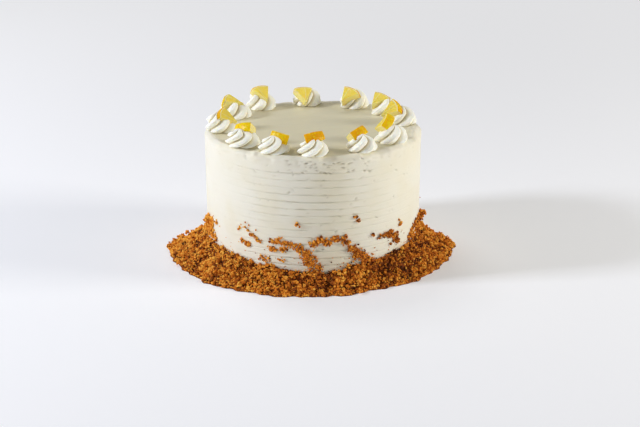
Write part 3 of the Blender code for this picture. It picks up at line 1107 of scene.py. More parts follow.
@dataclass
class LemonWedge:
    """One piece of a lemon slice, with peel, pith, membranes and flesh."""

    place: SwirlPlace
    number: int
    top: float
    radius: float = 22.8 * MM
    angle: float = math.radians(53.0)
    thickness: float = 9.0 * MM
    arc_steps: int = 12
    bevel: float = 0.7 * MM
    bevel_segments: int = 3
    sharpest_kept: float = math.radians(35.0)
    voxel: float = 0.5 * MM
    slice_segments: float = 9.0
    cell_relief: float = 0.22 * MM
    cell_sink: float = 0.18 * MM
    zest_relief: float = 0.12 * MM
    barrel: float = 0.9 * MM
    bend: float = 0.3 * MM

    def inside(self, x: np.ndarray, y: np.ndarray) -> np.ndarray:
        """How far inside the wedge's outline points of its own plane are, below 0 outside it.

        Args:
            x: the points' places from the tip to the peel.
            y: their places across.

        Returns:
            The distances.
        """
        half = self.angle / 2.0
        to_side = x * math.sin(half) - np.abs(y) * math.cos(half)
        return np.minimum(self.radius - np.hypot(x, y), to_side)

    def plain_solid(self) -> bpy.types.Object:
        """The wedge with sharp edges, in its own frame.

        Returns:
            The wedge.
        """
        half = self.angle / 2.0
        outline = [(self.bevel * 1.4, 0.0)]
        for i in range(self.arc_steps + 1):
            angle = half * (2.0 * i / self.arc_steps - 1.0)
            outline.append((self.radius * math.cos(angle), self.radius * math.sin(angle)))
        shaper = bmesh.new()
        low = [shaper.verts.new((x, y, 0.0)) for x, y in outline]
        face = shaper.faces.new(list(reversed(low)))
        lifted = bmesh.ops.extrude_face_region(shaper, geom=[face])["geom"]
        moved = [part for part in lifted if isinstance(part, bmesh.types.BMVert)]
        bmesh.ops.translate(shaper, verts=moved, vec=(0.0, 0.0, self.thickness))
        bmesh.ops.recalc_face_normals(shaper, faces=shaper.faces)
        mesh = bpy.data.meshes.new("wedge blank")
        shaper.to_mesh(mesh)
        shaper.free()
        made = bpy.data.objects.new("wedge blank", mesh)
        bpy.context.scene.collection.objects.link(made)
        return made

    def blank(self) -> bpy.types.Object:
        """The plain wedge with rounded edges, remeshed into even faces.

        Returns:
            The wedge, with its modifiers not yet applied.
        """
        made = self.plain_solid()
        bevel = made.modifiers.new("Rounded", "BEVEL")
        bevel.width = self.bevel
        bevel.segments = self.bevel_segments
        bevel.limit_method = "ANGLE"
        bevel.angle_limit = self.sharpest_kept
        remesh = made.modifiers.new("Even", "REMESH")
        remesh.mode = "VOXEL"
        remesh.voxel_size = self.voxel
        soften = made.modifiers.new("Soft", "SMOOTH")
        soften.factor = 0.5
        soften.iterations = 2
        return made

    def evaluated(self) -> tuple[np.ndarray, list[list[int]]]:
        """The blank's points and faces; the blank itself is removed.

        Returns:
            The points, and the point numbers of each face.
        """
        made = self.blank()
        graph = bpy.context.evaluated_depsgraph_get()
        mesh = bpy.data.meshes.new_from_object(made.evaluated_get(graph))
        points = np.empty(len(mesh.vertices) * 3, np.float32)
        mesh.vertices.foreach_get("co", points)
        faces = [list(face.vertices) for face in mesh.polygons]
        bpy.data.objects.remove(made)
        bpy.data.meshes.remove(mesh)
        return points.reshape(-1, 3).astype(float), faces

    def membranes(self, angle: np.ndarray, out: np.ndarray) -> np.ndarray:
        """Where the thin skins of the segments are.

        Args:
            angle: angles of the points from the wedge's middle line.
            out: their distances from its tip.

        Returns:
            From 0 in the flesh to 1 in a skin.
        """
        rng = np.random.default_rng(200 + self.number)
        segment = math.tau / self.slice_segments
        first = rng.uniform(-0.3, 0.3) * segment
        to_skin = np.abs(wrapped(angle - first, segment)) * out / MM
        to_side = (self.angle / 2.0 - np.abs(angle)) * out / MM
        skin = 1.0 - smooth_step(to_skin, 0.15, 0.5)
        side = 0.75 * (1.0 - smooth_step(to_side, 0.3, 0.9))
        tip = 1.0 - smooth_step(out / MM, 1.5, 2.6)
        return np.maximum(np.maximum(skin, side), tip)

    def build(self, material: bpy.types.Material) -> None:
        """Builds the wedge, in place of its plain solid.

        Args:
            material: the lemon finish.
        """
        points, faces = self.evaluated()
        noise = Noise(100 + self.number)
        x, y, z = points.T.copy()
        out = np.hypot(x, y)
        angle = np.arctan2(y, x)
        peel = (self.radius - out) / MM
        membrane = self.membranes(angle, out)
        in_flesh = smooth_step(peel, 2.0, 2.8)
        juice = np.stack([out / (3.2 * MM), angle * 14.0, z / (1.6 * MM)], -1) + 31.0 * self.number
        outward_face = smooth_step(z, 0.3 * self.thickness, 0.7 * self.thickness) * 2.0 - 1.0
        near_face = smooth_step(np.minimum(z, self.thickness - z), 1.2 * MM, 0.2 * MM)
        cut_cells = in_flesh * (1.0 - membrane) * near_face
        lift = outward_face * cut_cells * (self.cell_relief * noise.at(juice) - self.cell_sink)
        lift += self.bend * noise.layered(points, 9.0 * MM, 2) * in_flesh
        zest = smooth_step(peel, 1.2, 0.3) * self.zest_relief * noise.layered(points, 1.6 * MM, 2)
        barrel = self.barrel * ((z / self.thickness - 0.4) * 1.6) ** 2 * smooth_step(peel, 14.0, 0.0)
        points[:, 0] += np.cos(angle) * (zest - barrel)
        points[:, 1] += np.sin(angle) * (zest - barrel)
        points[:, 2] += lift
        values = {
            "peel": peel,
            "membrane": membrane * in_flesh,
            "ripeness": np.full(len(points), self.place.wedge.ripeness),
            "juice": juice,
        }
        name = f"lemon_piece_{self.number:02d}"
        node = f"lemon_wedge_{self.number:02d}"
        world = placed(points, self.place.wedge_frame(self.top))
        new_piece(name, world, faces, material, [node], values)


@dataclass
class PipedSwirl:
    """One swirl of cream from a star tip, with its lemon wedge pressed into it."""

    place: SwirlPlace
    number: int
    top: float
    wedge: LemonWedge
    ribs: int = 5
    columns: int = 192
    rows: int = 72
    rib_lean: float = 0.30
    rib_sharpness: float = 0.58
    climb: float = 1.25
    spiral_turns: float = 1.5
    outward_lean: float = 3.5 * MM
    own_lean: float = 1.2 * MM
    wobble: float = 0.38 * MM
    tear: float = 0.26 * MM
    strand: float = 0.24 * MM
    bed_margin: float = 0.45 * MM
    bed_depth: float = 0.25 * MM
    bulge: float = 0.9 * MM

    # Radius and height shares from the foot's middle over the side to the tip
    PROFILE = (
        (0.0, 0.0),
        (0.92, 0.0),
        (0.99, 0.08),
        (1.0, 0.20),
        (0.98, 0.34),
        (0.92, 0.48),
        (0.82, 0.62),
        (0.69, 0.75),
        (0.52, 0.86),
        (0.34, 0.94),
        (0.17, 0.99),
        (0.0, 1.02),
    )

    def outline(self) -> tuple[np.ndarray, np.ndarray]:
        """Radius and height shares, evenly spaced along the swirl's outline.

        Returns:
            The radius shares and the height shares.
        """
        known = np.array(self.PROFILE)
        length = np.concatenate([[0.0], np.cumsum(np.hypot(*np.diff(known, axis=0).T))])
        share = np.linspace(0.0, length[-1], self.rows)
        radius = np.interp(share, length, known[:, 0])
        height = np.interp(share, length, known[:, 1])
        for _ in range(3):
            radius[1:-1] = (radius[:-2] + 2.0 * radius[1:-1] + radius[2:]) / 4.0
            height[1:-1] = (height[:-2] + 2.0 * height[1:-1] + height[2:]) / 4.0
        return radius, height

    def shape(self) -> tuple[np.ndarray, np.ndarray]:
        """Places the swirl's points in its own frame.

        Returns:
            The points, and how deep in a valley between ribs each one is, for the painted shade there.
        """
        noise = Noise(300 + self.number)
        rng = np.random.default_rng(400 + self.number)
        radius_share, height_share = self.outline()
        share = np.repeat(radius_share, self.columns)
        up = np.repeat(height_share, self.columns)
        angle = np.tile(np.linspace(0.0, math.tau, self.columns, endpoint=False), self.rows)
        climbed = 1.0 - (1.0 - np.clip(up, 0.0, 1.0)) ** self.climb
        rib = angle - math.radians(self.place.twist) * climbed + rng.uniform(0.0, 1.0)
        rib = rib + self.rib_lean * np.sin(self.ribs * rib) / self.ribs
        crest = np.abs(np.cos(self.ribs * rib / 2.0)) ** self.rib_sharpness
        depth = 0.30 + 0.16 * smooth_step(up, 0.0, 0.45) + 0.14 * smooth_step(up, 0.6, 1.0)
        spiral = 0.5 - 0.5 * np.cos(angle - math.tau * self.spiral_turns * up)
        waist = 1.0 - 0.06 * spiral * smooth_step(up, 0.15, 0.5)
        radius = share * self.place.radius * MM * (1.03 - depth * (1.0 - crest)) * waist
        height = up * self.place.height * MM
        points = round_points(radius, angle, height)
        tears = noise.at(np.stack([rib * 26.0, up * 5.0, share * 3.0], -1) + 40.0)
        strand = np.cos(3.0 * self.ribs * rib + 2.0 * noise.at(points / (9.0 * MM) + 11.0))
        wobble = self.wobble * noise.layered(points, 5.0 * MM, 3)
        fine = wobble + crest * (self.tear * tears + self.strand * strand)
        radius = radius + smooth_step(up, 0.0, 0.12) * smooth_step(share, 0.0, 0.25) * fine
        points = round_points(radius, angle, height)
        lean = self.own_lean * smooth_step(up, 0.65, 1.0)
        way = rng.uniform(0.0, math.tau)
        points[:, 0] += lean * math.cos(way) + self.outward_lean * up
        points[:, 1] += lean * math.sin(way)
        return points, smooth_step(1.0 - crest, 0.30, 0.95)

    def press(self, world: np.ndarray) -> np.ndarray:
        """Presses the wedge's bed into the cream.

        Args:
            world: the swirl's points in place.

        Returns:
            The pressed points.
        """
        matrix = self.place.wedge_frame(self.top)
        local = placed(world, matrix.inverted())
        inside = self.wedge.inside(local[:, 0], local[:, 1])
        under = smooth_step(inside, -self.bed_margin, 0.1 * MM)
        high = local[:, 2] > -self.bed_depth
        local[high, 2] -= (self.bed_depth + local[high, 2]) * under[high]
        beside = smooth_step(inside, -4.0 * MM, -0.3 * MM) * (1.0 - under)
        level = np.exp(-(((local[:, 2] - 0.5 * MM) / (2.0 * MM)) ** 2))
        local[:, 2] += self.bulge * beside * level
        return placed(local, matrix)

    def build(self, material: bpy.types.Material) -> None:
        """Builds the swirl, in place of its plain solid.

        Args:
            material: the cream finish.
        """
        points, valley_shade = self.shape()
        world = self.press(placed(points, self.place.frame(self.top)))
        faces = ring_faces(self.rows, self.columns)
        name = f"piped_swirl_{self.number:02d}"
        node = f"rosette_{self.number:02d}"
        # The valleys' depth, for the cream's painted shade
        new_piece(name, world, faces, material, [node], {"valley_shade": valley_shade})


@dataclass(frozen=True)
class CrumbPatch:
    """A group of crumbs on the side: bearing and slope in degrees, lengths in millimetres."""

    bearing: float
    height: float
    half_length: float
    half_width: float
    slope: float
    count: int
    size: float = 1.0
    pile: float = 1.2


PATCHES = (
    CrumbPatch(-131.0, 51.5, 1.4, 1.4, 0.0, 8),
    CrumbPatch(-126.6, 55.0, 6.0, 3.6, 0.0, 15, 0.95),
    CrumbPatch(-125.2, 51.6, 0.8, 0.9, 0.0, 5),
    CrumbPatch(-120.3, 53.4, 0.9, 0.6, 0.0, 4, 0.8),
    CrumbPatch(-123.0, 47.6, 2.6, 1.9, -16.0, 30),
    CrumbPatch(-119.4, 44.4, 4.4, 2.0, -30.0, 46),
    CrumbPatch(-129.0, 40.2, 2.8, 2.0, 0.0, 30),
    CrumbPatch(-125.6, 37.8, 4.2, 2.5, -18.0, 54),
    CrumbPatch(-110.8, 45.0, 4.2, 2.4, 0.0, 26),
    CrumbPatch(-107.6, 48.4, 3.0, 1.5, 8.0, 22),
    CrumbPatch(-108.4, 44.6, 2.4, 1.6, 0.0, 18),
    CrumbPatch(-103.8, 44.2, 3.8, 2.7, -6.0, 50),
    CrumbPatch(-110.8, 36.8, 4.8, 2.5, -4.0, 58),
    CrumbPatch(-105.0, 37.4, 3.8, 2.5, 0.0, 42),
    CrumbPatch(-115.4, 26.6, 6.0, 3.2, 0.0, 40),
    CrumbPatch(-105.5, 27.6, 4.0, 1.6, 0.0, 14, 0.9),
    CrumbPatch(-100.5, 42.6, 4.2, 3.0, -20.0, 44),
    CrumbPatch(-97.0, 39.6, 5.0, 3.8, -28.0, 76),
    CrumbPatch(-93.6, 34.0, 5.4, 5.2, -40.0, 118),
    CrumbPatch(-91.0, 27.0, 6.0, 5.5, 0.0, 118),
    CrumbPatch(-88.5, 20.5, 6.5, 5.0, 0.0, 96),
    CrumbPatch(-90.0, 45.0, 4.2, 3.4, 0.0, 54),
    CrumbPatch(-86.2, 47.4, 5.2, 3.8, 0.0, 84),
    CrumbPatch(-82.3, 45.8, 4.0, 2.9, 0.0, 50),
    CrumbPatch(-78.6, 48.4, 4.4, 3.1, 14.0, 60),
    CrumbPatch(-74.0, 50.0, 3.0, 2.4, 30.0, 32),
    CrumbPatch(-73.0, 44.6, 4.6, 2.6, -12.0, 50),
    CrumbPatch(-70.4, 38.2, 4.4, 3.6, -20.0, 64),
    CrumbPatch(-67.4, 33.4, 5.4, 4.6, -20.0, 90),
    CrumbPatch(-64.4, 29.0, 6.6, 4.6, -14.0, 104),
    CrumbPatch(-62.0, 25.2, 7.0, 4.0, 0.0, 80),
    CrumbPatch(-69.5, 27.0, 3.6, 3.4, 0.0, 20, 0.8),
    CrumbPatch(-46.8, 43.6, 5.2, 3.9, 0.0, 96),
    CrumbPatch(-42.6, 40.0, 4.6, 3.8, -10.0, 76),
    CrumbPatch(-51.8, 45.0, 4.8, 2.3, -6.0, 42),
    CrumbPatch(-58.0, 47.4, 2.4, 1.4, 0.0, 13),
    CrumbPatch(-54.6, 42.8, 1.4, 0.9, 0.0, 7, 0.9),
    CrumbPatch(-41.0, 34.4, 2.8, 2.8, 0.0, 26),
    CrumbPatch(-45.0, 34.6, 6.5, 1.8, 8.0, 18, 0.85),
    CrumbPatch(-38.6, 50.0, 2.0, 2.2, 0.0, 20),
    CrumbPatch(-39.4, 54.8, 1.1, 1.1, 0.0, 7, 0.9),
    CrumbPatch(-98.0, 63.8, 2.6, 1.5, 0.0, 19),
    CrumbPatch(-68.4, 68.7, 2.0, 1.1, 0.0, 11),
    CrumbPatch(-66.6, 64.8, 1.7, 1.4, 0.0, 13),
    CrumbPatch(-151.0, 46.5, 1.6, 3.2, 0.0, 16, 0.9),
    CrumbPatch(-162.0, 43.5, 6.0, 5.0, 0.0, 150, 1.15, 5.0),
    CrumbPatch(-157.2, 43.5, 3.4, 6.0, 0.0, 90, 1.1, 2.4),
    CrumbPatch(-164.0, 35.0, 6.5, 6.0, 0.0, 150, 1.1, 4.5),
    CrumbPatch(-158.0, 32.5, 6.0, 5.5, 0.0, 120, 1.0, 3.5),
    CrumbPatch(-152.5, 30.0, 3.0, 4.0, 0.0, 44),
    CrumbPatch(-29.4, 32.5, 3.0, 4.0, -50.0, 50),
    CrumbPatch(-25.6, 37.0, 3.6, 5.0, -40.0, 70),
    CrumbPatch(-24.0, 29.0, 5.0, 5.0, 0.0, 90),
    CrumbPatch(-20.0, 41.0, 4.2, 4.6, 0.0, 70),
    CrumbPatch(-16.0, 34.0, 8.0, 6.0, 0.0, 190, 1.0, 2.4),
    CrumbPatch(-14.0, 43.0, 4.5, 3.2, 0.0, 56),
    CrumbPatch(-6.0, 42.0, 4.2, 3.4, 0.0, 100, 1.2, 7.0),
    CrumbPatch(-3.0, 36.5, 5.0, 4.0, 0.0, 90, 1.0, 4.0),
    CrumbPatch(20.0, 30.0, 7.0, 3.0, 10.0, 60),
    CrumbPatch(48.0, 33.0, 5.0, 4.0, -20.0, 60),
    CrumbPatch(61.0, 44.0, 5.0, 2.5, 15.0, 34),
    CrumbPatch(78.0, 33.0, 8.0, 3.5, 0.0, 80),
    CrumbPatch(95.0, 41.0, 5.0, 2.6, 20.0, 42),
    CrumbPatch(104.0, 34.0, 5.0, 4.0, -30.0, 60),
    CrumbPatch(119.0, 43.0, 6.0, 2.0, 0.0, 40),
    CrumbPatch(138.0, 42.0, 5.5, 3.4, 12.0, 60),
    CrumbPatch(160.0, 50.0, 4.0, 3.0, 0.0, 34),
    CrumbPatch(84.0, 60.0, 2.0, 1.2, 0.0, 10),
    CrumbPatch(33.0, 63.0, 1.6, 1.0, 0.0, 8),
)


class CrumbForm(Enum):
    """What one crumb is made of: a single grain, or grains that stick together."""

    GRAIN = 1
    CLUMP = 8


@dataclass(frozen=True)
class CrumbSize:
    """One size of loose crumb on the heap, with radii in millimetres."""

    name: str
    form: CrumbForm
    count: int
    least: float
    most: float
    paleness: float
    seed: int


CRUMB_SIZES = (
    CrumbSize("crumbs_fine", CrumbForm.GRAIN, 9000, 0.5, 1.1, 0.56, 51),
    CrumbSize("crumbs_middle", CrumbForm.GRAIN, 7800, 1.0, 2.1, 0.50, 52),
    CrumbSize("crumbs_clumped", CrumbForm.CLUMP, 1180, 2.0, 3.7, 0.52, 53),
)

# Clumps that stand out on the heap's edge: bearing in degrees, then distance, height and radius in mm
EDGE_CLUMPS = (
    (178.0, 147.0, 2.2, 2.0),
    (175.5, 149.0, 2.4, 1.6),
    (172.0, 146.0, 2.6, 2.4),
    (169.0, 139.0, 4.2, 3.0),
    (165.5, 136.0, 4.4, 3.4),
    (162.0, 134.0, 4.0, 2.6),
    (-176.0, 146.0, 2.6, 2.6),
    (14.0, 137.0, 4.0, 2.8),
    (9.0, 141.5, 3.2, 2.4),
    (18.5, 131.0, 3.6, 2.6),
    (-160.0, 143.0, 2.6, 2.2),
    (-70.0, 130.0, 3.0, 2.6),
    (-110.0, 130.5, 3.0, 2.4),
)


@dataclass
class Crumbs:
    """Loose crumbs of biscuit, joined into one mesh for each size."""

    material: bpy.types.Material
    variants: int = 16
    roughness: float = 0.34
    clump_reach: float = 0.66
    clump_grain: tuple[float, float] = (0.30, 0.58)
    clump_speckle: float = 0.13
    flattest: float = 0.55
    least_height: float = 0.05 * MM

    def grains(self, seed: int) -> tuple[np.ndarray, np.ndarray]:
        """Rough grains of radius 1.

        Args:
            seed: the random draw.

        Returns:
            The points of each variant, and the faces that they share.
        """
        shaper = bmesh.new()
        bmesh.ops.create_icosphere(shaper, subdivisions=1, radius=1.0)
        ball = np.array([vertex.co[:] for vertex in shaper.verts])
        faces = np.array([[vertex.index for vertex in face.verts] for face in shaper.faces])
        shaper.free()
        rng = np.random.default_rng(seed)
        shape = (self.variants, len(ball), 1)
        bumps = 1.0 + self.roughness * rng.uniform(-1.0, 1.0, shape)
        stretch = np.stack([np.ones(self.variants), *rng.uniform(self.flattest, 1.0, (2, self.variants))], -1)
        return ball * bumps * stretch[:, None, :], faces

    def forms(self, form: CrumbForm, seed: int) -> tuple[np.ndarray, np.ndarray, np.ndarray]:
        """Crumbs of radius 1 in one form.

        Args:
            form: a grain or a clump.
            seed: the random draw.

        Returns:
            The points of each variant, how much paler each point is, and the faces.
        """
        points, faces = self.grains(seed)
        if form is CrumbForm.GRAIN:
            return points, np.zeros(points.shape[:2]), faces
        rng = np.random.default_rng(seed + 1)
        count = form.value
        way = unit(rng.normal(size=(self.variants, count, 3)))
        middle = way * self.clump_reach * rng.uniform(0.1, 1.0, (self.variants, count, 1)) ** 0.5
        size = rng.uniform(*self.clump_grain, (self.variants, count, 1, 1))
        turned = self.turned(points[rng.integers(0, self.variants, self.variants * count)], rng)
        turned = turned.reshape(self.variants, count, -1, 3)
        joined = (turned * size + middle[:, :, None, :]).reshape(self.variants, -1, 3)
        speckle = rng.normal(0.0, self.clump_speckle, (self.variants, count))
        paler = np.repeat(speckle, points.shape[1], axis=1)
        steps = np.arange(count) * points.shape[1]
        return joined, paler, (faces[None] + steps[:, None, None]).reshape(-1, 3)

    @staticmethod
    def turned(points: np.ndarray, rng: np.random.Generator) -> np.ndarray:
        """Crumbs each turned at random.

        Args:
            points: the points of each crumb.
            rng: the random draw.

        Returns:
            The turned points.
        """
        w, x, y, z = unit(rng.normal(size=(len(points), 4))).T
        rows = [
            [1 - 2 * (y * y + z * z), 2 * (x * y - z * w), 2 * (x * z + y * w)],
            [2 * (x * y + z * w), 1 - 2 * (x * x + z * z), 2 * (y * z - x * w)],
            [2 * (x * z - y * w), 2 * (y * z + x * w), 1 - 2 * (x * x + y * y)],
        ]
        return np.einsum("ijn,nvj->nvi", np.array(rows), points)

    def build(
        self,
        name: str,
        places: np.ndarray,
        sizes: np.ndarray,
        bake_and_painted_light: np.ndarray,
        form: CrumbForm,
        seed: int,
        replaced: Sequence[str] = (),
    ) -> None:
        """Joins crumbs into one piece.

        Args:
            name: the piece's name.
            places: their middles.
            sizes: their radii.
            bake_and_painted_light: how pale each is, from 0 to 1, as its bake together with painted light and
                shade.
            form: single grains or clumps.
            seed: the random draw.
            replaced: the nodes that it stands for.
        """
        rng = np.random.default_rng(seed)
        shapes, paler, faces = self.forms(form, seed)
        chosen = rng.integers(0, self.variants, len(places))
        points = self.turned(shapes[chosen], rng) * sizes[:, None, None] + places[:, None, :]
        steps = np.arange(len(places)) * shapes.shape[1]
        all_faces = (faces[None] + steps[:, None, None]).reshape(-1, 3)
        points = points.reshape(-1, 3)
        points[:, 2] = np.maximum(points[:, 2], self.least_height)
        values = {"bake_and_painted_light": np.clip(bake_and_painted_light[:, None] + paler[chosen], 0.0, 1.0).ravel()}
        new_piece(name, points, all_faces, self.material, replaced, values, smooth=False)


@dataclass
class CrumbBank:
    """The heap of crumbs against the foot of the cake: a rough core, coloured dark as painted shade between
    the crumbs, with loose crumbs over it.
    """

    crumbs: Crumbs
    inner: float = 107.9 * MM
    edge: float = 2.0 * MM
    slope: float = 1.6
    edge_inset: float = 1.5
    clump_cell: float = 11.0 * MM
    clump_height: float = 1.9 * MM
    lump_cell: float = 4.2 * MM
    lump_height: float = 1.2 * MM
    hollow_depth: float = 3.6 * MM
    core_roughness: float = 1.1 * MM
    # Painted shade: the core's dark brown tone stands for the shade in the gaps between the crumbs
    core_shade: float = 0.12
    least_height: float = 0.05 * MM
    most_rise: float = 0.55
    edge_bake: float = 0.6
    columns: int = 760
    rows: int = 62
    seed: int = 31

    # Height at the cake and reach from its middle in mm, every 30 degrees from +X
    TOPS = (27.0, 19.0, 20.0, 22.0, 20.0, 17.0, 24.0, 25.5, 20.5, 16.5, 23.5, 27.5)
    REACHES = (146.0, 132.0, 133.0, 135.0, 132.0, 128.0, 150.0, 141.0, 137.0, 131.0, 131.0, 136.0)
    # Waves of the edge: how many in a turn, and how far each goes in mm
    WAVES = ((7.0, 1.2), (13.0, 1.0), (23.0, 0.9), (41.0, 0.8), (67.0, 0.6))
    # Painted light and shade: how much paler the crumbs are coloured every 30 degrees from +X, lightest on
    # the lamp-lit left and a little darker at the front right
    PAINTED_LIGHT_AROUND = (0.06, 0.03, 0.02, 0.02, 0.03, 0.12, 0.36, 0.27, 0.13, 0.03, -0.07, -0.02)

    def reach(self, angle: np.ndarray) -> np.ndarray:
        """Radius of the heap's outer edge."""
        waves = sum(size * np.sin(count * angle) for count, size in self.WAVES)
        return (around(self.REACHES, angle) + waves - self.edge_inset) * MM

    def hollows(self, points: np.ndarray, noise: Noise) -> np.ndarray:
        """Where the heap sinks between its clumps, from 0 to 1.

        Args:
            points: points of the heap.
            noise: random values.

        Returns:
            One value for each point.
        """
        broad = smooth_step(noise.layered(points + 0.5, 12.0 * MM, 2), 0.30, 0.95)
        small = smooth_step(noise.at((points + 0.9) / (5.5 * MM)), 0.30, 0.75)
        return np.minimum(broad + 0.55 * small, 1.0)

    def surface(self, angle: np.ndarray, share: np.ndarray, noise: Noise) -> np.ndarray:
        """Points of the heap's surface.

        Args:
            angle: angles round the cake.
            share: 0 at the cake, 1 at the outer edge.
            noise: random values.

        Returns:
            The points.
        """
        radius = self.inner + share * (self.reach(angle) - self.inner)
        top = around(self.TOPS, angle) * MM
        height = self.edge * (1.0 - share**6) + (top - self.edge) * np.maximum(1.0 - share, 0.0) ** self.slope
        points = round_points(radius, angle, height)
        relief = self.clump_height * noise.layered(points, self.clump_cell, 2)
        relief += self.lump_height * noise.layered(points, self.lump_cell, 2)
        relief -= self.hollow_depth * self.hollows(points, noise)
        points[:, 2] = np.maximum(height + smooth_step(1.0 - share, 0.0, 0.18) * relief, 0.1 * MM)
        return points

    def build(self) -> None:
        """Builds the core and the loose crumbs, in place of the plain ring."""
        noise = Noise(self.seed)
        self.build_core(noise)
        for size in CRUMB_SIZES:
            self.cover(size, noise)

    def build_core(self, noise: Noise) -> None:
        """Builds the core, which closes the gaps between the crumbs and is coloured dark as painted shade in
        them.

        Args:
            noise: random values.
        """
        angle = np.tile(np.linspace(0.0, math.tau, self.columns, endpoint=False), self.rows)
        share = np.repeat(np.linspace(0.0, 1.0, self.rows) ** 0.9, self.columns)
        points = self.surface(angle, share, noise)
        fine = noise.layered(points * 1.3, 2.0 * MM, 2) - smooth_step(1.0 - share, 0.0, 0.1)
        points[:, 2] = np.maximum(points[:, 2] + self.core_roughness * fine, self.least_height)
        under = round_points(np.full(self.columns, self.inner), angle[: self.columns], np.zeros(self.columns))
        edge = points[-self.columns :].copy()
        edge[:, 2] = 0.0
        points = np.concatenate([points, edge, under])
        last = len(points) - self.columns
        column = np.arange(self.columns)
        after = (column + 1) % self.columns
        closing = np.stack([last + column, last + after, after, column], -1)
        faces = np.concatenate([ring_faces(self.rows + 2, self.columns), closing])[:, ::-1]
        speckle = noise.layered(points, 3.0 * MM, 2) + noise.at(points / (1.3 * MM))
        # Painted shade: the core is coloured dark, with speckles
        values = {"bake_and_painted_light": self.core_shade + 0.12 * speckle}
        new_piece("crumb_heap", points, faces, self.crumbs.material, ["crumb_bank"], values)

    def within(self, points: np.ndarray, angle: np.ndarray, radii: np.ndarray) -> np.ndarray:
        """Moves crumbs that stick out of the heap, into the cake or through the floor back in.

        Args:
            points: the crumbs' middles.
            angle: their angles round the cake.
            radii: their radii.

        Returns:
            The middles, moved.
        """
        out = np.hypot(points[:, 0], points[:, 1])
        shrink = np.minimum((self.reach(angle) + 0.4 * MM - radii) / out, 1.0)
        grow = np.maximum(1.0, (self.inner + 0.3 * radii) / out)
        points[:, :2] *= (shrink * grow)[:, None]
        points[:, 2] = np.maximum(points[:, 2], 0.6 * radii)
        return points

    def cover(self, size: CrumbSize, noise: Noise) -> None:
        """Scatters one size of crumb over the core.

        Args:
            size: the size.
            noise: random values.
        """
        rng = np.random.default_rng(size.seed)
        angle = rng.uniform(0.0, math.tau, size.count)
        share = rng.uniform(0.0, 1.0, size.count) ** 0.85
        radii = (size.least + (size.most - size.least) * rng.beta(1.2, 2.0, size.count)) * MM
        points = self.surface(angle, share, noise)
        aside = self.surface(angle + 0.01, share, noise)
        outer = self.surface(angle, share + 0.02, noise)
        normal = unit(np.cross(outer - points, aside - points))
        rise = rng.uniform(-self.most_rise, self.most_rise, size.count)
        hollow_shade = self.hollows(points, noise)
        points = self.within(points + normal * (radii * rise)[:, None], angle, radii)
        patch = noise.layered(points * 0.7 + 0.3, 14.0 * MM, 2)
        # Painted light and shade: crumbs on the lit left and those that rise out of the heap are made paler,
        # those that sink or lie in its hollows darker
        bake_and_painted_light = size.paleness + around(self.PAINTED_LIGHT_AROUND, angle) + 0.19 * patch + 0.18 * rise - 0.40 * hollow_shade
        bake_and_painted_light += rng.normal(0.0, 0.28, size.count)
        if size.form is CrumbForm.CLUMP:
            bearing, distance, height, radius = np.array(EDGE_CLUMPS).T
            extra = round_points(distance * MM, np.radians(bearing), height * MM)
            points = np.concatenate([points, extra])
            radii = np.concatenate([radii, radius * MM])
            bake_and_painted_light = np.concatenate([bake_and_painted_light, np.full(len(extra), self.edge_bake)])
        self.crumbs.build(size.name, points, radii, np.clip(bake_and_painted_light, 0.05, 0.98), size.form, size.seed)


@dataclass
class StuckCrumbs:
    """Crumbs pressed into the frosting of the side."""

    crumbs: Crumbs
    bank: CrumbBank
    radius: float = 107.4 * MM
    stray_count: int = 420
    density: float = 0.74
    bake_and_painted_light: float = 0.55
    bake_spread: float = 0.23
    seed: int = 61

    def in_patch(self, patch: CrumbPatch, rng: np.random.Generator) -> np.ndarray:
        """The crumbs of one patch.

        Args:
            patch: the patch.
            rng: the random draw.

        Returns:
            Rows of the crumbs' angles, heights, radii and rises from the side.
        """
        count = math.ceil(self.density * patch.count)
        spread = np.sqrt(rng.uniform(0.0, 1.0, count))
        way = rng.uniform(0.0, math.tau, count)
        ragged = 1.0 + 0.25 * rng.normal(size=count)
        along = patch.half_length * spread * np.cos(way) * ragged
        across = patch.half_width * spread * np.sin(way) * ragged
        slope = math.radians(patch.slope)
        right = along * math.cos(slope) - across * math.sin(slope)
        up = along * math.sin(slope) + across * math.cos(slope)
        angle = math.radians(patch.bearing) + right * MM / self.radius
        size = rng.uniform(0.5, 1.5, count) * patch.size * MM
        rise = patch.pile * MM * rng.uniform(0.0, 1.0, count) * (1.0 - spread**2)
        return np.stack([angle, (patch.height + up) * MM, size, rise])

    def strays(self, rng: np.random.Generator) -> np.ndarray:
        """Single crumbs just over the heap, as rows of angles, heights, radii and rises.

        Args:
            rng: the random draw.

        Returns:
            The rows, as in_patch gives them.
        """
        angle = rng.uniform(0.0, math.tau, self.stray_count)
        over = rng.exponential(5.0, self.stray_count) - 2.0
        height = (around(self.bank.TOPS, angle) + over) * MM
        size = rng.uniform(0.3, 0.8, self.stray_count) * MM
        return np.stack([angle, height, size, np.zeros(self.stray_count)])

    def build(self) -> None:
        """Builds the patches and the stray crumbs."""
        rng = np.random.default_rng(self.seed)
        groups = [self.in_patch(patch, rng) for patch in PATCHES]
        groups.append(self.strays(rng))
        angle, height, size, rise = np.concatenate(groups, axis=1)
        out = self.radius + size * rng.uniform(-0.1, 0.75, len(size)) + rise
        # Painted light and shade by bearing: paler on the lit left, a little darker at the front right
        bake_and_painted_light = self.bake_and_painted_light + around(self.bank.PAINTED_LIGHT_AROUND, angle) + rng.normal(0.0, self.bake_spread, len(size))
        bake_and_painted_light = np.clip(bake_and_painted_light, 0.05, 0.95)
        places = round_points(out, angle, np.maximum(height, size))
        self.crumbs.build("crumbs_on_side", places, size, bake_and_painted_light, CrumbForm.GRAIN, self.seed, ["frosted_cake"])


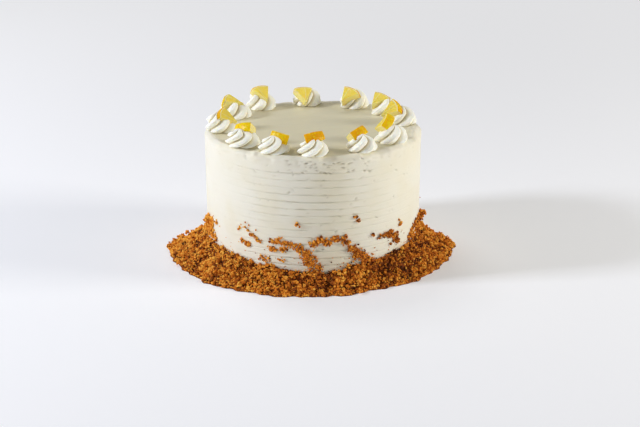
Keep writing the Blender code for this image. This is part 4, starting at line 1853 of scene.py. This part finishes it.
@dataclass(frozen=True)
class Lamp:
    """A soft rectangular light that points at the cake: lengths in metres, power in watts."""

    name: str
    place: tuple[float, float, float]
    size: tuple[float, float]
    power: float
    colour: Colour
    aim: tuple[float, float, float] = (0.0, 0.0, 0.09)

    def build(self) -> None:
        """Adds the light."""
        data = bpy.data.lights.new(self.name, "AREA")
        data.shape = "RECTANGLE"
        data.size, data.size_y = self.size
        data.energy = self.power
        data.color = self.colour
        lamp = bpy.data.objects.new(self.name, data)
        lamp.location = self.place
        way = Vector(self.aim) - Vector(self.place)
        lamp.rotation_euler = way.to_track_quat("-Z", "Y").to_euler()
        bpy.context.scene.collection.objects.link(lamp)


LAMPS = (
    Lamp("left key", (-1.8, -0.38, 1.0), (0.34, 0.3), 28.5, (0.84, 0.88, 1.0)),
    Lamp("right fill", (1.8, -0.28, 0.75), (0.6, 0.5), 20.0, (1.0, 0.98, 0.93)),
    Lamp("top back", (-0.5, 0.75, 1.5), (0.7, 0.7), 5.5, (1.0, 0.99, 0.97)),
)


@dataclass
class Studio:
    """The plain floor, the soft lights and the camera: lengths in metres, angles in radians."""

    camera_place: tuple[float, float, float] = (0.0, -1.30, 0.4904)
    pitch: float = 0.3352
    yaw: float = 0.0054
    focal_pixels: float = 1354.8
    picture_width: float = 640.0
    sensor: float = 36.0
    farthest_seen: float = 50.0
    floor_reach: float = 6.0
    air: float = 0.24

    def build(self) -> None:
        """Builds the studio."""
        self.build_floor()
        self.build_camera()
        self.build_world()
        for lamp in LAMPS:
            lamp.build()

    def build_floor(self) -> None:
        """Builds the floor, which isn't part of the cake."""
        reach = self.floor_reach
        corners = [(-reach, -reach, 0.0), (reach, -reach, 0.0), (reach, reach, 0.0), (-reach, reach, 0.0)]
        mesh = bpy.data.meshes.new("floor")
        mesh.from_pydata(corners, [], [(0, 1, 2, 3)])
        mesh.materials.append(FloorFinish().material())
        floor = bpy.data.objects.new("floor", mesh)
        bpy.context.scene.collection.objects.link(floor)

    def build_camera(self) -> None:
        """Sets the camera at the photograph's viewing angle."""
        data = bpy.data.cameras.new("camera")
        data.sensor_width = self.sensor
        data.lens = self.focal_pixels / self.picture_width * self.sensor
        data.clip_end = self.farthest_seen
        camera = bpy.data.objects.new("camera", data)
        camera.location = self.camera_place
        camera.rotation_euler = (math.pi / 2.0 - self.pitch, 0.0, -self.yaw)
        bpy.context.scene.collection.objects.link(camera)
        bpy.context.scene.camera = camera

    def build_world(self) -> None:
        """Sets a weak even light from all round."""
        world = bpy.data.worlds.new("studio air")
        world.use_nodes = True
        back = world.node_tree.nodes["Background"]
        back.inputs["Color"].default_value = (1.0, 1.0, 1.0, 1.0)
        back.inputs["Strength"].default_value = self.air
        bpy.context.scene.world = world
        bpy.context.scene.view_settings.view_transform = "Standard"


def main() -> None:
    """Builds the dressed cake and its studio in order."""
    logging.basicConfig(level=logging.INFO, format="%(message)s")
    cake = FrostedCake()
    cake.build()
    lemon = LemonFinish().material()
    cream = CreamFinish().material()
    for number, place in enumerate(SWIRLS, start=1):
        wedge = LemonWedge(place, number, cake.height + WEDGE_GAP)
        wedge.build(lemon)
        PipedSwirl(place, number, cake.height + SWIRL_GAP, wedge).build(cream)
    crumbs = Crumbs(BiscuitFinish().material())
    bank = CrumbBank(crumbs)
    bank.build()
    StuckCrumbs(crumbs, bank).build()
    Studio().build()


if __name__ == "__main__":
    main()
